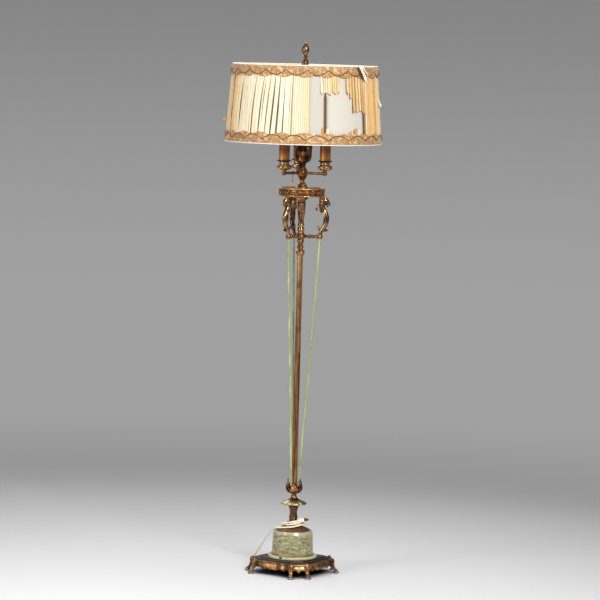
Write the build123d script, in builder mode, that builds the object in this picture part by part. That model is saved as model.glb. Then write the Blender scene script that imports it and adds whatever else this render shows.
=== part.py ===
from build123d import *
import os
from math import atan2, cos, degrees, dist, hypot, pi, radians, sin, sqrt, tan

# Floor lamp: stone drum base, column with three leaning rods, three candle arms round a
# centre socket, and a pleated drum shade on a harp.
# Millimetres, +Z up, origin on the floor under the column.
# A turning lists (radius, height above the piece's seat) from the seat upwards.

# Clearances
PIPE_FIT = 0.2
TENON_FIT = 0.1
RUN_GAP = 0.3

# Tie pipe that strings the column together, and the lead inside it
PIPE_RADIUS = 5.0
PIPE_WALL = 1.5
PIPE_TAIL = 3.0
LEAD_RADIUS = 2.2
LEAD_BEND = 7.0
LEAD_SLOT = 6.0

# Base casting, a clipped square with its corners on the X and Y axes
BASE_FLAT = 104.0
BASE_CORNER = 122.0
BASE_WALL = 5.0
SKIRT_BOTTOM = 14.0
SKIRT_TOP = 42.0
DECK_THICK = 8.0
STEP_COUNT = 2
STEP_HEIGHT = 3.25
STEP_WIDTH = 11.0
STEP_TAPER = 30.0
LONG_ARCH_OFFSET = 25.0
LONG_ARCH_HALF = 20.0
LONG_ARCH_RISE = 9.0
SHORT_ARCH_HALF = 12.0
SHORT_ARCH_RISE = 8.0
FOOT_SPLAY = 10.0
FOOT_ROOT = 6.5
FOOT_TUCK = 2.0
FOOT_THICK = 9.0
FOOT_INNER_LEAN = 0.2
FOOT_OUTER_LEAN = -0.5
FOOT_PAD_RADIUS = 7.5
FOOT_PAD_HEIGHT = 5.0

# Weight, washer and nut under the base
WEIGHT_GAP = 4.0
WEIGHT_HEIGHT = 14.0
WASHER_RADIUS = 18.0
WASHER_THICK = 2.0
NUT_RADIUS = 10.0
NUT_HEIGHT = 7.0

# Stone drum with its disc, collar and cap
DISC_RADIUS = 75.0
DISC_THICK = 6.0
DISC_EDGE = 2.0
COLLAR_RADIUS = 64.5
COLLAR_THICK = 4.0
DRUM_RADIUS = 63.0
DRUM_TOP_RADIUS = 60.5
DRUM_HEIGHT = 70.0
DRUM_BEVEL_HEIGHT = 8.5
DRUM_BEVEL_WIDTH = 3.5
CAP_RADIUS = 51.0
CAP_RIM = 3.0
CAP_RISE = 16.0
CAP_NECK_RADIUS = 13.0
CAP_NECK_HEIGHT = 9.5
CAP_WALL = 2.5

# Lower stem, dish and leaf cup
STEM_TURNING = ((10.6, 0), (13.0, 11), (11.3, 19), (10.0, 26), (11.2, 38), (13.0, 44))
STEM_FLUTES = 10
STEM_FLUTE_RADIUS = 1.6
DISH_UNDERSIDE = ((13.0, 0), (17.0, 4), (28.0, 10), (38.5, 13.5))
DISH_TOPSIDE = ((38.5, 15.5), (25.0, 18.5), (15.5, 23), (11.7, 26))
DISH_PETALS = 8
DISH_NOTCH_RADIUS = 6.0
DISH_NOTCH_DEPTH = 2.5
CUP_NECK = ((11.7, 0), (8.6, 7), (7.8, 13), (9.5, 17))
CUP_BOWL = ((9.5, 17), (17.0, 22), (20.0, 30), (20.6, 38))
CUP_CROWN = ((20.6, 38), (20.8, 48), (23.5, 61))
CUP_INSIDE = ((21.6, 61), (18.8, 48), (18.0, 38), (16.4, 29))
CUP_LEAVES = 6
CUP_NOTCH_HALF = 8.0
CUP_NOTCH_DEPTH = 21.0

# Column
COLUMN_RADIUS = 8.6
COLUMN_WALL = 1.3
COLUMN_LENGTH = 718.0
COLUMN_SOCKET = 6.0
COLUMN_CAP_TURNING = ((10.6, 0), (10.9, 3), (13.8, 10), (7.6, 18.5), (10.0, 25), (7.2, 32), (9.6, 40),
                      (8.4, 49))

# Spokes, rods and figures, which stand a little turned from the arms
TRIPOD_TURN = 11.0
SPOKE_COLLAR_TURNING = ((8.4, 0), (13.0, 4), (15.0, 9), (13.0, 14), (10.5, 18))
SPOKE_REACH = 59.0
SPOKE_TENON_RADIUS = 3.5
SPOKE_TENON_START = 8.0
SPOKE_START = 15.2
SPOKE_TURNING = ((4.6, 0), (5.6, 2), (4.2, 5), (6.9, 12), (4.2, 19), (5.7, 22), (4.0, 25), (6.3, 31),
                 (4.0, 37))
BOSS_TURNING = ((5.6, 0), (7.6, 3), (8.0, 7), (7.6, 11), (5.6, 14))
ROD_RADIUS = 3.0
ROD_FOOT_RADIUS = 12.8
FIGURE_SPINE = ((0, 0.0, 4.6), (1.5, 0.10, 5.0), (10, 0.21, 6.4), (18, 0.34, 7.0),
                (20, 0.45, 7.2), (12, 0.61, 6.4), (5, 0.73, 5.6), (7, 0.88, 6.6))
FIGURE_FOOT_RADIUS = 4.6
FIGURE_FOOT_HEIGHT = 4.0
FIGURE_HEAD_RADIUS = 9.0
FIGURE_HEAD_AT = (8.0, 0.87)
FIGURE_BEAK_LENGTH = 17.0
FIGURE_BEAK_RADIUS = 6.0
FIGURE_BEAK_TAPER = 14.0
FIGURE_CREST_RADIUS = 5.5
FIGURE_CREST_REACH = 64.5

# Upper stem, gallery, spindle and arm hub
UPPER_STEM_TURNING = ((10.5, 0), (9.6, 6), (7.9, 12), (9.9, 20), (7.8, 27), (8.2, 42), (10.0, 46), (9.2, 52),
                      (10.6, 64), (11.6, 86), (14.5, 93), (12.4, 98), (19.4, 104), (20.0, 110))
UPPER_STEM_NECK = 10.0
UPPER_STEM_HEIGHT = 131.0
GALLERY_RADIUS = 69.5
GALLERY_RIM = 4.0
GALLERY_RECESS = 2.0
GALLERY_BORE = 61.0
GALLERY_DROP = 19.0
GALLERY_LIP = 2.0
PLATE_RADIUS = 64.4
PLATE_THICK = 4.0
SPINDLE_TURNING = ((20.0, 0), (19.0, 2.5), (12.0, 8), (8.8, 15), (7.9, 22), (9.4, 27), (10.5, 30))
HUB_TURNING = ((10.5, 0), (14.5, 6), (17.0, 12), (17.5, 19), (16.4, 27), (12.5, 33))
HUB_ARM_HEIGHT = 17.0

# Candle arms
ARM_ANGLES = (90, 210, 330)
ARM_REACH = 72.0
ARM_RADIUS = 4.1
ARM_BORE = 2.6
ARM_TENON_START = 8.0
ARM_BALL_RADIUS = 7.2
ARM_BALL_FLAT = 6.0
NIPPLE_RADIUS = 5.0
NIPPLE_WALL = 1.4
NIPPLE_TENON = 8.0
CANDLE_CUP_BOWL = ((7.2, 0), (8.0, 3), (17.5, 8), (22.0, 13.5), (20.3, 17), (14.5, 20.5))
CANDLE_CUP_FLANGE = ((14.5, 20.5), (16.8, 26), (22.0, 31))
CANDLE_CUP_HEIGHT = 33.0
CANDLE_CUP_FLOOR = 26.0
SLEEVE_RADIUS = 16.2
SLEEVE_BORE = 15.0
SLEEVE_LENGTH = 100.0
SLEEVE_SLIP = 0.5
CANDLE_SOCKET_RADIUS = SLEEVE_BORE - SLEEVE_SLIP
CANDLE_SOCKET_HEIGHT = 66.0
CANDLE_SOCKET_WALL = 0.9
CANDLE_SHELL_LENGTH = 26.6
SHELL_WALL = 0.4
CANDLE_SHELL_BORE = CANDLE_SOCKET_RADIUS - CANDLE_SOCKET_WALL - SHELL_WALL
SHELL_RECESS = 2.0
CONTACT_RADIUS = 4.0
CONTACT_HEIGHT = 3.0
CONTACT_GAP = 0.4
CONTACT_ROOM = 1.0

# Centre socket and its husk
MOGUL_RADIUS = 21.6
HUSK_OUTSIDE = ((8.4, 0), (8.0, 8), (9.5, 13), (15.0, 18), (MOGUL_RADIUS + 0.4, 25), (MOGUL_RADIUS + 3.4, 36),
                (MOGUL_RADIUS + 4.8, 60), (MOGUL_RADIUS + 5.4, 85))
HUSK_INSIDE = ((MOGUL_RADIUS + 3.9, 85), (MOGUL_RADIUS + 3.3, 60), (MOGUL_RADIUS + 2.0, 38), (20.0, 26),
               (14.0, 19.5), (11.0, 17))
HUSK_FLUTES = 14
HUSK_FLUTE_RADIUS = 1.4
SADDLE_STRIP = 1.2
SADDLE_HALF_WIDTH = 4.0
SADDLE_FLAT = 8.0
SADDLE_DISC_RADIUS = 7.2
SADDLE_KNEE_HEIGHT = 25.0
SADDLE_GAP = 0.4
SADDLE_REACH = MOGUL_RADIUS + SADDLE_GAP + SADDLE_STRIP
SADDLE_RISE = 72.0
SADDLE_FLARE = 4.0
MOGUL_FOOT_RADIUS = 6.8
MOGUL_TAPER_HEIGHT = 26.0
MOGUL_HEIGHT = 121.0
MOGUL_SHELL_BORE = 19.75
MOGUL_SHELL_LENGTH = 32.6
MOGUL_CONTACT_RADIUS = 7.0
PIPE_HEAD = 8.0
KNOB_ANGLE = 270.0
KNOB_HEIGHT = 75.0
KNOB_SHAFT_RADIUS = 1.8
KNOB_SHAFT_START = 14.0
KNOB_REACH = 36.0
KNOB_LENGTH = 12.0
KNOB_RADIUS = 5.0
KNOB_RIBS = 12
KNOB_RIB_RADIUS = 0.6

# Pull chain
CHAIN_ANGLE = 165.0
CHAIN_REACH = 29.0
CHAIN_GUIDE_RADIUS = 3.2
CHAIN_GUIDE_START = 12.0
CHAIN_GUIDE_BALL = 4.8
CHAIN_BEADS = 8
CHAIN_BEAD_RADIUS = 1.6
CHAIN_PITCH = 3.6
CHAIN_LINK_RADIUS = 0.6
CHAIN_BELL_RADIUS = 3.4
CHAIN_BELL_HEIGHT = 8.0

# Harp and finial
HARP_WIRE = 2.0
HARP_FOOT_REACH = 31.0
HARP_LEG = 28.0
HARP_SHOULDER = 62.0
HARP_SIDE = 142.0
HARP_HALF_WIDTH = 58.0
HARP_TOP_HALF = 22.0
HARP_HEIGHT = 188.0
HARP_BENDS = (14.0, 24.0, 30.0, 24.0)
HARP_BOSS = 12.0
HARP_PAD_RADIUS = 7.0
HARP_PAD_THICK = 6.0
STUD_RADIUS = 3.0
STUD_LENGTH = 20.0
FERRULE_LENGTH = 16.0
FERRULE_OVERLAP = 8.0
FERRULE_RADIUS = 4.3
FINIAL_TURNING = ((9.5, 0), (10.2, 6), (6.8, 21.6), (9.6, 27), (5.2, 33.6), (8.8, 38), (12.0, 49.6),
                  (9.0, 62), (3.8, 72), (1.0, 78.3))
FINIAL_GAP = 0.2

# Shade
SHADE_TOP_RADIUS = 214.8
SHADE_BOTTOM_RADIUS = 231.8
SHADE_HEIGHT = 227.0
RING_WIRE = 1.6
RIB_COUNT = 10
RIB_TURN = -84.0
RIB_WIRE = 1.3
SPIDER_RISE = 8.0
SPIDER_ARMS = 4
SPIDER_WASHER_RADIUS = 16.0
SPIDER_WASHER_THICK = 3.6
LINING_THICK = 0.8
CLOTH_GAP = 0.2
PLEAT_COUNT = 120
PLEAT_DEPTH = 2.5
COVER_THICK = 0.8
BRAID_HEIGHT = 28.0
BRAID_THICK = 1.5
PIPING_RADIUS = 2.2
PIPING_OFFSET = 3.4

# Cord: it leaves a bushing in the apron, rises to the cap and is wound loosely round the stem
CORD_RADIUS = 2.5
GLAND_EDGE_OFFSET = 34.0
GLAND_HEIGHT = 30.5
GLAND_FLANGE_RADIUS = 6.0
GLAND_FLANGE = 3.0
GLAND_NECK_RADIUS = 4.4
GLAND_LENGTH = 20.0
GLAND_TIP_RADIUS = 3.4
COIL_START_ANGLE = 225.0
COIL_RADIUS = 38.0
COIL_PITCH = 7.0
COIL_TURNS_IN = 1.75
COIL_TURNS_CLIMB = 0.5
COIL_TURNS_OUT = 1.64
COIL_TURNS_END = 0.25
COIL_LAYER = 6.1
COIL_REST = 0.4
COIL_END_RADIUS = 31.0
COIL_END_RISE = 13.5
COIL_END_EASE = 0.6
COIL_STEP = 0.02
COIL_SAMPLES = 600
STRAND_SPACING = 40
CORD_FIRST_RUN = 10.0
CORD_LAST_RUN = 14.0
CORD_BEND_SHARE = 0.45
# Loop on the floor and rise past the base: out from the apron's long edge, along that edge, and up
CORD_LOOP = ((43, 46, 25), (54, 44, 14), (60, 33, 5), (60, 17, 3.0), (55, 1, 2.8), (47, -15, 3.0),
             (37, -28, 6), (26, -36, 18), (15, -38, 37))
# Brink of the cap: out from the column and up from the cap's seat
CORD_BRINK = ((55, 1), (38, 12.5))

# Plug on the cord's end
PLUG_LENGTH = 20.0
PLUG_RADIUS = 8.5
PLUG_NECK_RADIUS = 4.5
BLADE_LENGTH = 15.0
BLADE_WIDTH = 6.3
BLADE_THICK = 1.5
BLADE_SPACING = 12.7

# Heights of the seats, stacked from the floor up
pipe_bore = PIPE_RADIUS + PIPE_FIT
deck_underside = SKIRT_TOP - DECK_THICK
base_top = SKIRT_TOP + STEP_COUNT * STEP_HEIGHT
weight_bottom = deck_underside - WEIGHT_HEIGHT
washer_bottom = weight_bottom - WASHER_THICK
nut_bottom = washer_bottom - NUT_HEIGHT
pipe_bottom = nut_bottom - PIPE_TAIL
collar_seat = base_top + DISC_THICK
drum_seat = collar_seat + COLLAR_THICK
cap_seat = drum_seat + DRUM_HEIGHT
cap_shoulder = cap_seat + CAP_RIM + CAP_RISE
stem_seat = cap_shoulder + CAP_NECK_HEIGHT
dish_seat = stem_seat + STEM_TURNING[-1][1]
cup_seat = dish_seat + DISH_TOPSIDE[-1][1]
column_seat = cup_seat + CUP_INSIDE[-1][1]
column_top = column_seat + COLUMN_LENGTH
column_cap_seat = column_top - COLUMN_SOCKET
spoke_collar_seat = column_cap_seat + COLUMN_CAP_TURNING[-1][1]
spoke_height = spoke_collar_seat + SPOKE_COLLAR_TURNING[2][1]
boss_bottom = spoke_height - BOSS_TURNING[-1][1] / 2
figure_foot = spoke_height + BOSS_TURNING[-1][1] / 2
upper_stem_seat = spoke_collar_seat + SPOKE_COLLAR_TURNING[-1][1]
plate_seat = upper_stem_seat + UPPER_STEM_HEIGHT
gallery_bottom = plate_seat - GALLERY_DROP
spindle_seat = plate_seat + PLATE_THICK
gallery_top = spindle_seat + GALLERY_LIP
hub_seat = spindle_seat + SPINDLE_TURNING[-1][1]
arm_height = hub_seat + HUB_ARM_HEIGHT
candle_cup_seat = arm_height + ARM_BALL_FLAT
candle_socket_seat = candle_cup_seat + CANDLE_CUP_FLOOR
sleeve_seat = candle_cup_seat + CANDLE_CUP_HEIGHT
candle_mouth = candle_socket_seat + CANDLE_SOCKET_HEIGHT
candle_ledge = candle_mouth - SHELL_RECESS - CANDLE_SHELL_LENGTH
husk_seat = hub_seat + HUB_TURNING[-1][1]
saddle_seat = husk_seat + HUSK_INSIDE[-1][1]
mogul_seat = saddle_seat + SADDLE_STRIP
pipe_top = mogul_seat + PIPE_HEAD
mogul_mouth = mogul_seat + MOGUL_HEIGHT
mogul_ledge = mogul_mouth - SHELL_RECESS - MOGUL_SHELL_LENGTH
harp_seat = saddle_seat + SADDLE_RISE + SADDLE_FLARE + SADDLE_STRIP
harp_foot = harp_seat + HARP_BOSS + RUN_GAP
harp_top = harp_foot + HARP_HEIGHT
finial_seat = harp_top + SPIDER_WASHER_THICK + FINIAL_GAP
shade_top = harp_top + SPIDER_WASHER_THICK / 2 + SPIDER_RISE + RING_WIRE
shade_bottom = shade_top - SHADE_HEIGHT


def turned(seat, bore, *stretches, centre=0.0):
    """Half outline of a turned piece: each stretch of (radius, height) points is one smooth line."""
    stretches = [[(centre + radius, seat + height) for radius, height in stretch] for stretch in stretches]
    first = stretches[0][0]
    with BuildSketch(Plane.XZ) as half:
        with BuildLine():
            end = first
            for stretch in stretches:
                if dist(end, stretch[0]) > 1e-6:
                    Line(end, stretch[0])
                if len(stretch) > 2:
                    Spline(*stretch)
                else:
                    Line(*stretch)
                end = stretch[-1]
            Polyline(end, (centre + bore, end[1]), (centre + bore, first[1]), first)
        make_face()
    return half.sketch


def upright(x, y=0.0):
    """Vertical axis through a point of the floor."""
    return Axis((x, y, 0), (0, 0, 1))


def facing(angle, reach=0.0, height=0.0):
    """Plane that faces outwards at an angle, with its own y axis pointing up."""
    turn = radians(angle)
    outward = (cos(turn), sin(turn), 0)
    return Plane(origin=(reach * outward[0], reach * outward[1], height),
                 x_dir=(-outward[1], outward[0], 0), z_dir=outward)


def clipped_square(inset):
    """Corners of the base's outline, drawn in by an inset."""
    corner = BASE_CORNER - inset
    half = (BASE_FLAT - inset) * sqrt(2) - corner
    quarter = [(corner, -half), (corner, half)]
    turns = [(1, 0), (0, 1), (-1, 0), (0, -1)]
    return [(x * c - y * s, x * s + y * c) for c, s in turns for x, y in quarter]


def clipped_prism(inset, bottom, top, taper=0.0, mode=Mode.ADD):
    """Upright block with the base's outline."""
    with BuildSketch(Plane.XY.offset(bottom)) as outline:
        with BuildLine():
            Polyline(*clipped_square(inset), close=True)
        make_face()
    extrude(outline.sketch, amount=top - bottom, taper=taper, mode=mode)


def rod_between(start, end, radius, mode=Mode.ADD):
    """Round bar from one point to another."""
    run = Vector(*end) - Vector(*start)
    with BuildSketch(Plane(origin=start, z_dir=run)) as section:
        Circle(radius)
    extrude(section.sketch, amount=run.length, mode=mode)


def ring_at(radius, height, wire):
    """Wire ring round the column's axis."""
    with BuildSketch(Plane.XZ) as section:
        with Locations((radius, height)):
            Circle(wire)
    revolve(section.sketch, axis=Axis.Z)


def shade_radius(height, offset):
    """Radius of the shade's slope at a height, moved out from the lining's inside."""
    share = (shade_top - height) / SHADE_HEIGHT
    return SHADE_TOP_RADIUS + (SHADE_BOTTOM_RADIUS - SHADE_TOP_RADIUS) * share + offset


def shade_band(bottom, top, inner, thick):
    """Sloping band of the shade between two heights."""
    with BuildSketch(Plane.XZ) as section:
        with BuildLine():
            Polyline((shade_radius(bottom, inner), bottom), (shade_radius(bottom, inner + thick), bottom),
                     (shade_radius(top, inner + thick), top), (shade_radius(top, inner), top), close=True)
        make_face()
    revolve(section.sketch, axis=Axis.Z)


pieces = {}

# Base casting
foot_root = hypot(BASE_CORNER, BASE_FLAT * sqrt(2) - BASE_CORNER)
foot_angle = degrees(atan2(BASE_FLAT * sqrt(2) - BASE_CORNER, BASE_CORNER))
foot_pad = foot_root + FOOT_SPLAY
gland_angle = 135 - degrees(atan2(GLAND_EDGE_OFFSET, BASE_FLAT))
gland_wall = hypot(BASE_FLAT, GLAND_EDGE_OFFSET)

with BuildPart() as foot:
    with BuildSketch(Plane.XZ):
        with BuildLine():
            inner_top = (foot_root - FOOT_ROOT, deck_underside)
            inner_knee = (foot_root - FOOT_ROOT, SKIRT_BOTTOM)
            inner_toe = (foot_pad - FOOT_PAD_RADIUS / 2, FOOT_PAD_HEIGHT / 2)
            outer_toe = (foot_pad + FOOT_PAD_RADIUS / 2, FOOT_PAD_HEIGHT / 2)
            outer_top = (foot_root - FOOT_TUCK, SKIRT_TOP - FOOT_TUCK)
            Line(inner_top, inner_knee)
            TangentArc(inner_knee, inner_toe, tangent=(FOOT_INNER_LEAN, -1))
            Line(inner_toe, outer_toe)
            TangentArc(outer_toe, outer_top, tangent=(FOOT_OUTER_LEAN, 1))
            Line(outer_top, inner_top)
        make_face()
    extrude(amount=FOOT_THICK / 2, both=True)
    with BuildSketch():
        with Locations((foot_pad, 0)):
            Circle(FOOT_PAD_RADIUS)
    extrude(amount=FOOT_PAD_HEIGHT)

with BuildPart() as base_casting:
    clipped_prism(0, SKIRT_BOTTOM, SKIRT_TOP)
    for step in range(STEP_COUNT):
        step_bottom = SKIRT_TOP + step * STEP_HEIGHT
        clipped_prism((step + 1) * STEP_WIDTH, step_bottom, step_bottom + STEP_HEIGHT, taper=STEP_TAPER)
    clipped_prism(BASE_WALL, 0, deck_underside, mode=Mode.SUBTRACT)
    for side in range(4):
        with BuildSketch(facing(45 + 90 * side, BASE_FLAT, SKIRT_BOTTOM)):
            with Locations((-LONG_ARCH_OFFSET, 0), (LONG_ARCH_OFFSET, 0)):
                Ellipse(LONG_ARCH_HALF, LONG_ARCH_RISE)
        extrude(amount=-2 * BASE_WALL, mode=Mode.SUBTRACT)
        with BuildSketch(facing(90 * side, BASE_CORNER, SKIRT_BOTTOM)):
            Ellipse(SHORT_ARCH_HALF, SHORT_ARCH_RISE)
        extrude(amount=-2 * BASE_WALL, mode=Mode.SUBTRACT)
        add(foot.part.rotate(Axis.Z, 90 * side + foot_angle))
        add(foot.part.rotate(Axis.Z, 90 * side - foot_angle))
    with Locations((0, 0, base_top)):
        Hole(pipe_bore)
    with BuildSketch(facing(gland_angle, gland_wall + GLAND_FLANGE, GLAND_HEIGHT)):
        Circle(GLAND_NECK_RADIUS + TENON_FIT)
    extrude(amount=-GLAND_FLANGE - 3 * BASE_WALL, mode=Mode.SUBTRACT)
pieces["base_casting"] = base_casting.part

# Weight with a slot for the lead, and what clamps it
with BuildPart() as base_weight:
    clipped_prism(BASE_WALL + WEIGHT_GAP, weight_bottom, deck_underside)
    with Locations((0, 0, deck_underside)):
        Hole(pipe_bore)
    with BuildSketch(facing(gland_angle, 0, GLAND_HEIGHT)):
        Rectangle(2 * LEAD_RADIUS + LEAD_SLOT / 2, 2 * (deck_underside - GLAND_HEIGHT))
    extrude(amount=BASE_CORNER, mode=Mode.SUBTRACT)
pieces["base_weight"] = base_weight.part

with BuildPart() as base_washer:
    with BuildSketch(Plane.XY.offset(washer_bottom)):
        Circle(WASHER_RADIUS)
        Circle(pipe_bore, mode=Mode.SUBTRACT)
    extrude(amount=WASHER_THICK)
pieces["base_washer"] = base_washer.part

with BuildPart() as base_nut:
    with BuildSketch(Plane.XY.offset(nut_bottom)):
        RegularPolygon(NUT_RADIUS, 6)
        Circle(PIPE_RADIUS + TENON_FIT, mode=Mode.SUBTRACT)
    extrude(amount=NUT_HEIGHT)
pieces["base_nut"] = base_nut.part

# Tie pipe with a slot where the lead comes in, and the lead
with BuildPart() as tie_pipe:
    with BuildSketch(Plane.XY.offset(pipe_bottom)):
        Circle(PIPE_RADIUS)
        Circle(PIPE_RADIUS - PIPE_WALL, mode=Mode.SUBTRACT)
    extrude(amount=pipe_top - pipe_bottom)
    with BuildSketch(facing(gland_angle, 0, GLAND_HEIGHT)):
        Rectangle(LEAD_SLOT, 2 * LEAD_BEND)
    extrude(amount=2 * PIPE_RADIUS, mode=Mode.SUBTRACT)
pieces["tie_pipe"] = tie_pipe.part

gland_tip = gland_wall + GLAND_FLANGE + GLAND_LENGTH
with BuildPart() as feed_lead:
    with BuildLine() as lead_line:
        lead_out = facing(gland_angle, gland_tip, GLAND_HEIGHT)
        FilletPolyline(lead_out.origin, (0, 0, GLAND_HEIGHT), (0, 0, pipe_top), radius=LEAD_BEND)
    with BuildSketch(lead_out):
        Circle(LEAD_RADIUS)
    sweep(path=lead_line.wire())
pieces["feed_lead"] = feed_lead.part

with BuildPart() as cord_bushing:
    neck_length = BASE_WALL + WEIGHT_GAP / 2
    with BuildSketch(facing(gland_angle, gland_wall - neck_length, GLAND_HEIGHT)):
        Circle(GLAND_NECK_RADIUS)
    extrude(amount=neck_length + GLAND_FLANGE)
    with BuildSketch(facing(gland_angle, gland_wall + GLAND_FLANGE, GLAND_HEIGHT)):
        Circle(GLAND_FLANGE_RADIUS)
    with BuildSketch(facing(gland_angle, gland_tip, GLAND_HEIGHT)):
        Circle(GLAND_TIP_RADIUS)
    loft()
    with BuildSketch(facing(gland_angle, 0, GLAND_HEIGHT)):
        Circle(LEAD_RADIUS + TENON_FIT)
    extrude(amount=2 * gland_tip, mode=Mode.SUBTRACT)
pieces["cord_bushing"] = cord_bushing.part

# Disc, collar, stone drum and cap
with BuildPart() as base_disc:
    with BuildSketch(Plane.XY.offset(base_top)):
        Circle(DISC_RADIUS)
        Circle(pipe_bore, mode=Mode.SUBTRACT)
    extrude(amount=DISC_THICK)
    fillet(base_disc.edges().group_by(Axis.Z)[-1].sort_by(SortBy.RADIUS)[-1], DISC_EDGE)
pieces["base_disc"] = base_disc.part

with BuildPart() as drum_collar:
    with BuildSketch(Plane.XY.offset(collar_seat)):
        Circle(COLLAR_RADIUS)
        Circle(pipe_bore, mode=Mode.SUBTRACT)
    extrude(amount=COLLAR_THICK)
pieces["drum_collar"] = drum_collar.part

with BuildPart() as stone_drum:
    bevel_start = DRUM_HEIGHT - DRUM_BEVEL_HEIGHT
    revolve(turned(drum_seat, pipe_bore, ((DRUM_RADIUS, 0), (DRUM_TOP_RADIUS, bevel_start)),
                   ((DRUM_TOP_RADIUS, bevel_start), (DRUM_TOP_RADIUS - DRUM_BEVEL_WIDTH, DRUM_HEIGHT))),
            axis=Axis.Z)
pieces["stone_drum"] = stone_drum.part

with BuildPart() as drum_cap:
    rim_top = (CAP_RADIUS, CAP_RIM)
    shoulder = (CAP_NECK_RADIUS, CAP_RIM + CAP_RISE)
    revolve(turned(cap_seat, pipe_bore, ((CAP_RADIUS, 0), rim_top), (rim_top, shoulder),
                   (shoulder, (CAP_NECK_RADIUS, CAP_RIM + CAP_RISE + CAP_NECK_HEIGHT))), axis=Axis.Z)
    revolve(turned(cap_seat, 0, ((CAP_RADIUS - CAP_WALL, 0), (CAP_RADIUS - CAP_WALL, CAP_RIM - CAP_WALL)),
                   ((CAP_RADIUS - CAP_WALL, CAP_RIM - CAP_WALL),
                    (CAP_NECK_RADIUS, CAP_RIM + CAP_RISE - CAP_WALL))),
            axis=Axis.Z, mode=Mode.SUBTRACT)
pieces["drum_cap"] = drum_cap.part

# Lower stem, dish and leaf cup
with BuildPart() as lower_stem:
    revolve(turned(stem_seat, pipe_bore, STEM_TURNING), axis=Axis.Z)
    stem_waist = min(radius for radius, height in STEM_TURNING)
    with BuildSketch(Plane.XY.offset(stem_seat)):
        with PolarLocations(stem_waist + STEM_FLUTE_RADIUS / 2, STEM_FLUTES):
            Circle(STEM_FLUTE_RADIUS)
    extrude(amount=STEM_TURNING[-1][1], mode=Mode.SUBTRACT)
pieces["lower_stem"] = lower_stem.part

with BuildPart() as petal_dish:
    revolve(turned(dish_seat, pipe_bore, DISH_UNDERSIDE, DISH_TOPSIDE), axis=Axis.Z)
    dish_radius = DISH_TOPSIDE[0][0]
    with BuildSketch(Plane.XY.offset(dish_seat)):
        with PolarLocations(dish_radius + DISH_NOTCH_RADIUS - DISH_NOTCH_DEPTH, DISH_PETALS):
            Circle(DISH_NOTCH_RADIUS)
    extrude(amount=DISH_TOPSIDE[-1][1], mode=Mode.SUBTRACT)
pieces["petal_dish"] = petal_dish.part

with BuildPart() as leaf_cup:
    revolve(turned(cup_seat, pipe_bore, CUP_NECK, CUP_BOWL, CUP_CROWN, CUP_INSIDE), axis=Axis.Z)
    crown_top = CUP_CROWN[-1][1]
    for leaf in range(CUP_LEAVES):
        with BuildSketch(facing(90 + 360 / CUP_LEAVES * leaf, 0, cup_seat + crown_top)):
            with BuildLine():
                Polyline((-CUP_NOTCH_HALF, 0), (0, -CUP_NOTCH_DEPTH), (CUP_NOTCH_HALF, 0), close=True)
            make_face()
        extrude(amount=2 * CUP_CROWN[-1][0], mode=Mode.SUBTRACT)
pieces["leaf_cup"] = leaf_cup.part

# Column
with BuildPart() as column_tube:
    with BuildSketch(Plane.XY.offset(column_seat)):
        Circle(COLUMN_RADIUS)
        Circle(COLUMN_RADIUS - COLUMN_WALL, mode=Mode.SUBTRACT)
    extrude(amount=COLUMN_LENGTH)
pieces["column_tube"] = column_tube.part

with BuildPart() as column_cap:
    revolve(turned(column_cap_seat, pipe_bore, COLUMN_CAP_TURNING), axis=Axis.Z)
    with BuildSketch(Plane.XY.offset(column_cap_seat)):
        Circle(COLUMN_RADIUS + TENON_FIT)
    extrude(amount=COLUMN_SOCKET, mode=Mode.SUBTRACT)
pieces["column_cap"] = column_cap.part

# Tripod: collar, spokes, rods and figures
tripod_angles = [angle + TRIPOD_TURN for angle in ARM_ANGLES]

with BuildPart() as spoke_collar:
    revolve(turned(spoke_collar_seat, pipe_bore, SPOKE_COLLAR_TURNING), axis=Axis.Z)
    for angle in tripod_angles:
        with BuildSketch(facing(angle, SPOKE_TENON_START, spoke_height)):
            Circle(SPOKE_TENON_RADIUS + TENON_FIT)
        extrude(amount=SPOKE_REACH, mode=Mode.SUBTRACT)
pieces["spoke_collar"] = spoke_collar.part

with BuildPart() as spoke:
    with BuildSketch(Plane.XZ):
        with BuildLine():
            beads = [(SPOKE_START + along, spoke_height + radius) for radius, along in SPOKE_TURNING]
            Spline(*beads)
            Polyline(beads[-1], (beads[-1][0], spoke_height), (SPOKE_TENON_START, spoke_height),
                     (SPOKE_TENON_START, spoke_height + SPOKE_TENON_RADIUS),
                     (SPOKE_START, spoke_height + SPOKE_TENON_RADIUS), beads[0])
        make_face()
    revolve(axis=Axis((0, 0, spoke_height), (1, 0, 0)))
    revolve(turned(boss_bottom, 0, BOSS_TURNING, centre=SPOKE_REACH), axis=upright(SPOKE_REACH))

with BuildPart() as rod:
    lean = Vector(SPOKE_REACH - ROD_FOOT_RADIUS, 0, boss_bottom - column_seat)
    with BuildSketch(Plane(origin=(ROD_FOOT_RADIUS, 0, column_seat), z_dir=lean)):
        Circle(ROD_RADIUS)
    extrude(amount=lean.length + 2 * ROD_RADIUS)
    extrude(rod.faces().sort_by(Axis.Z)[0], amount=2 * ROD_RADIUS)
    split(bisect_by=Plane.XY.offset(boss_bottom), keep=Keep.BOTTOM)
    split(bisect_by=Plane.XY.offset(column_seat), keep=Keep.TOP)

figure_height = gallery_bottom - figure_foot


def figure_point(out, share):
    """Place on a figure's middle plane, out from its foot and up by a share of its height."""
    return Vector(SPOKE_REACH + out, 0, figure_foot + share * figure_height)


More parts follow.
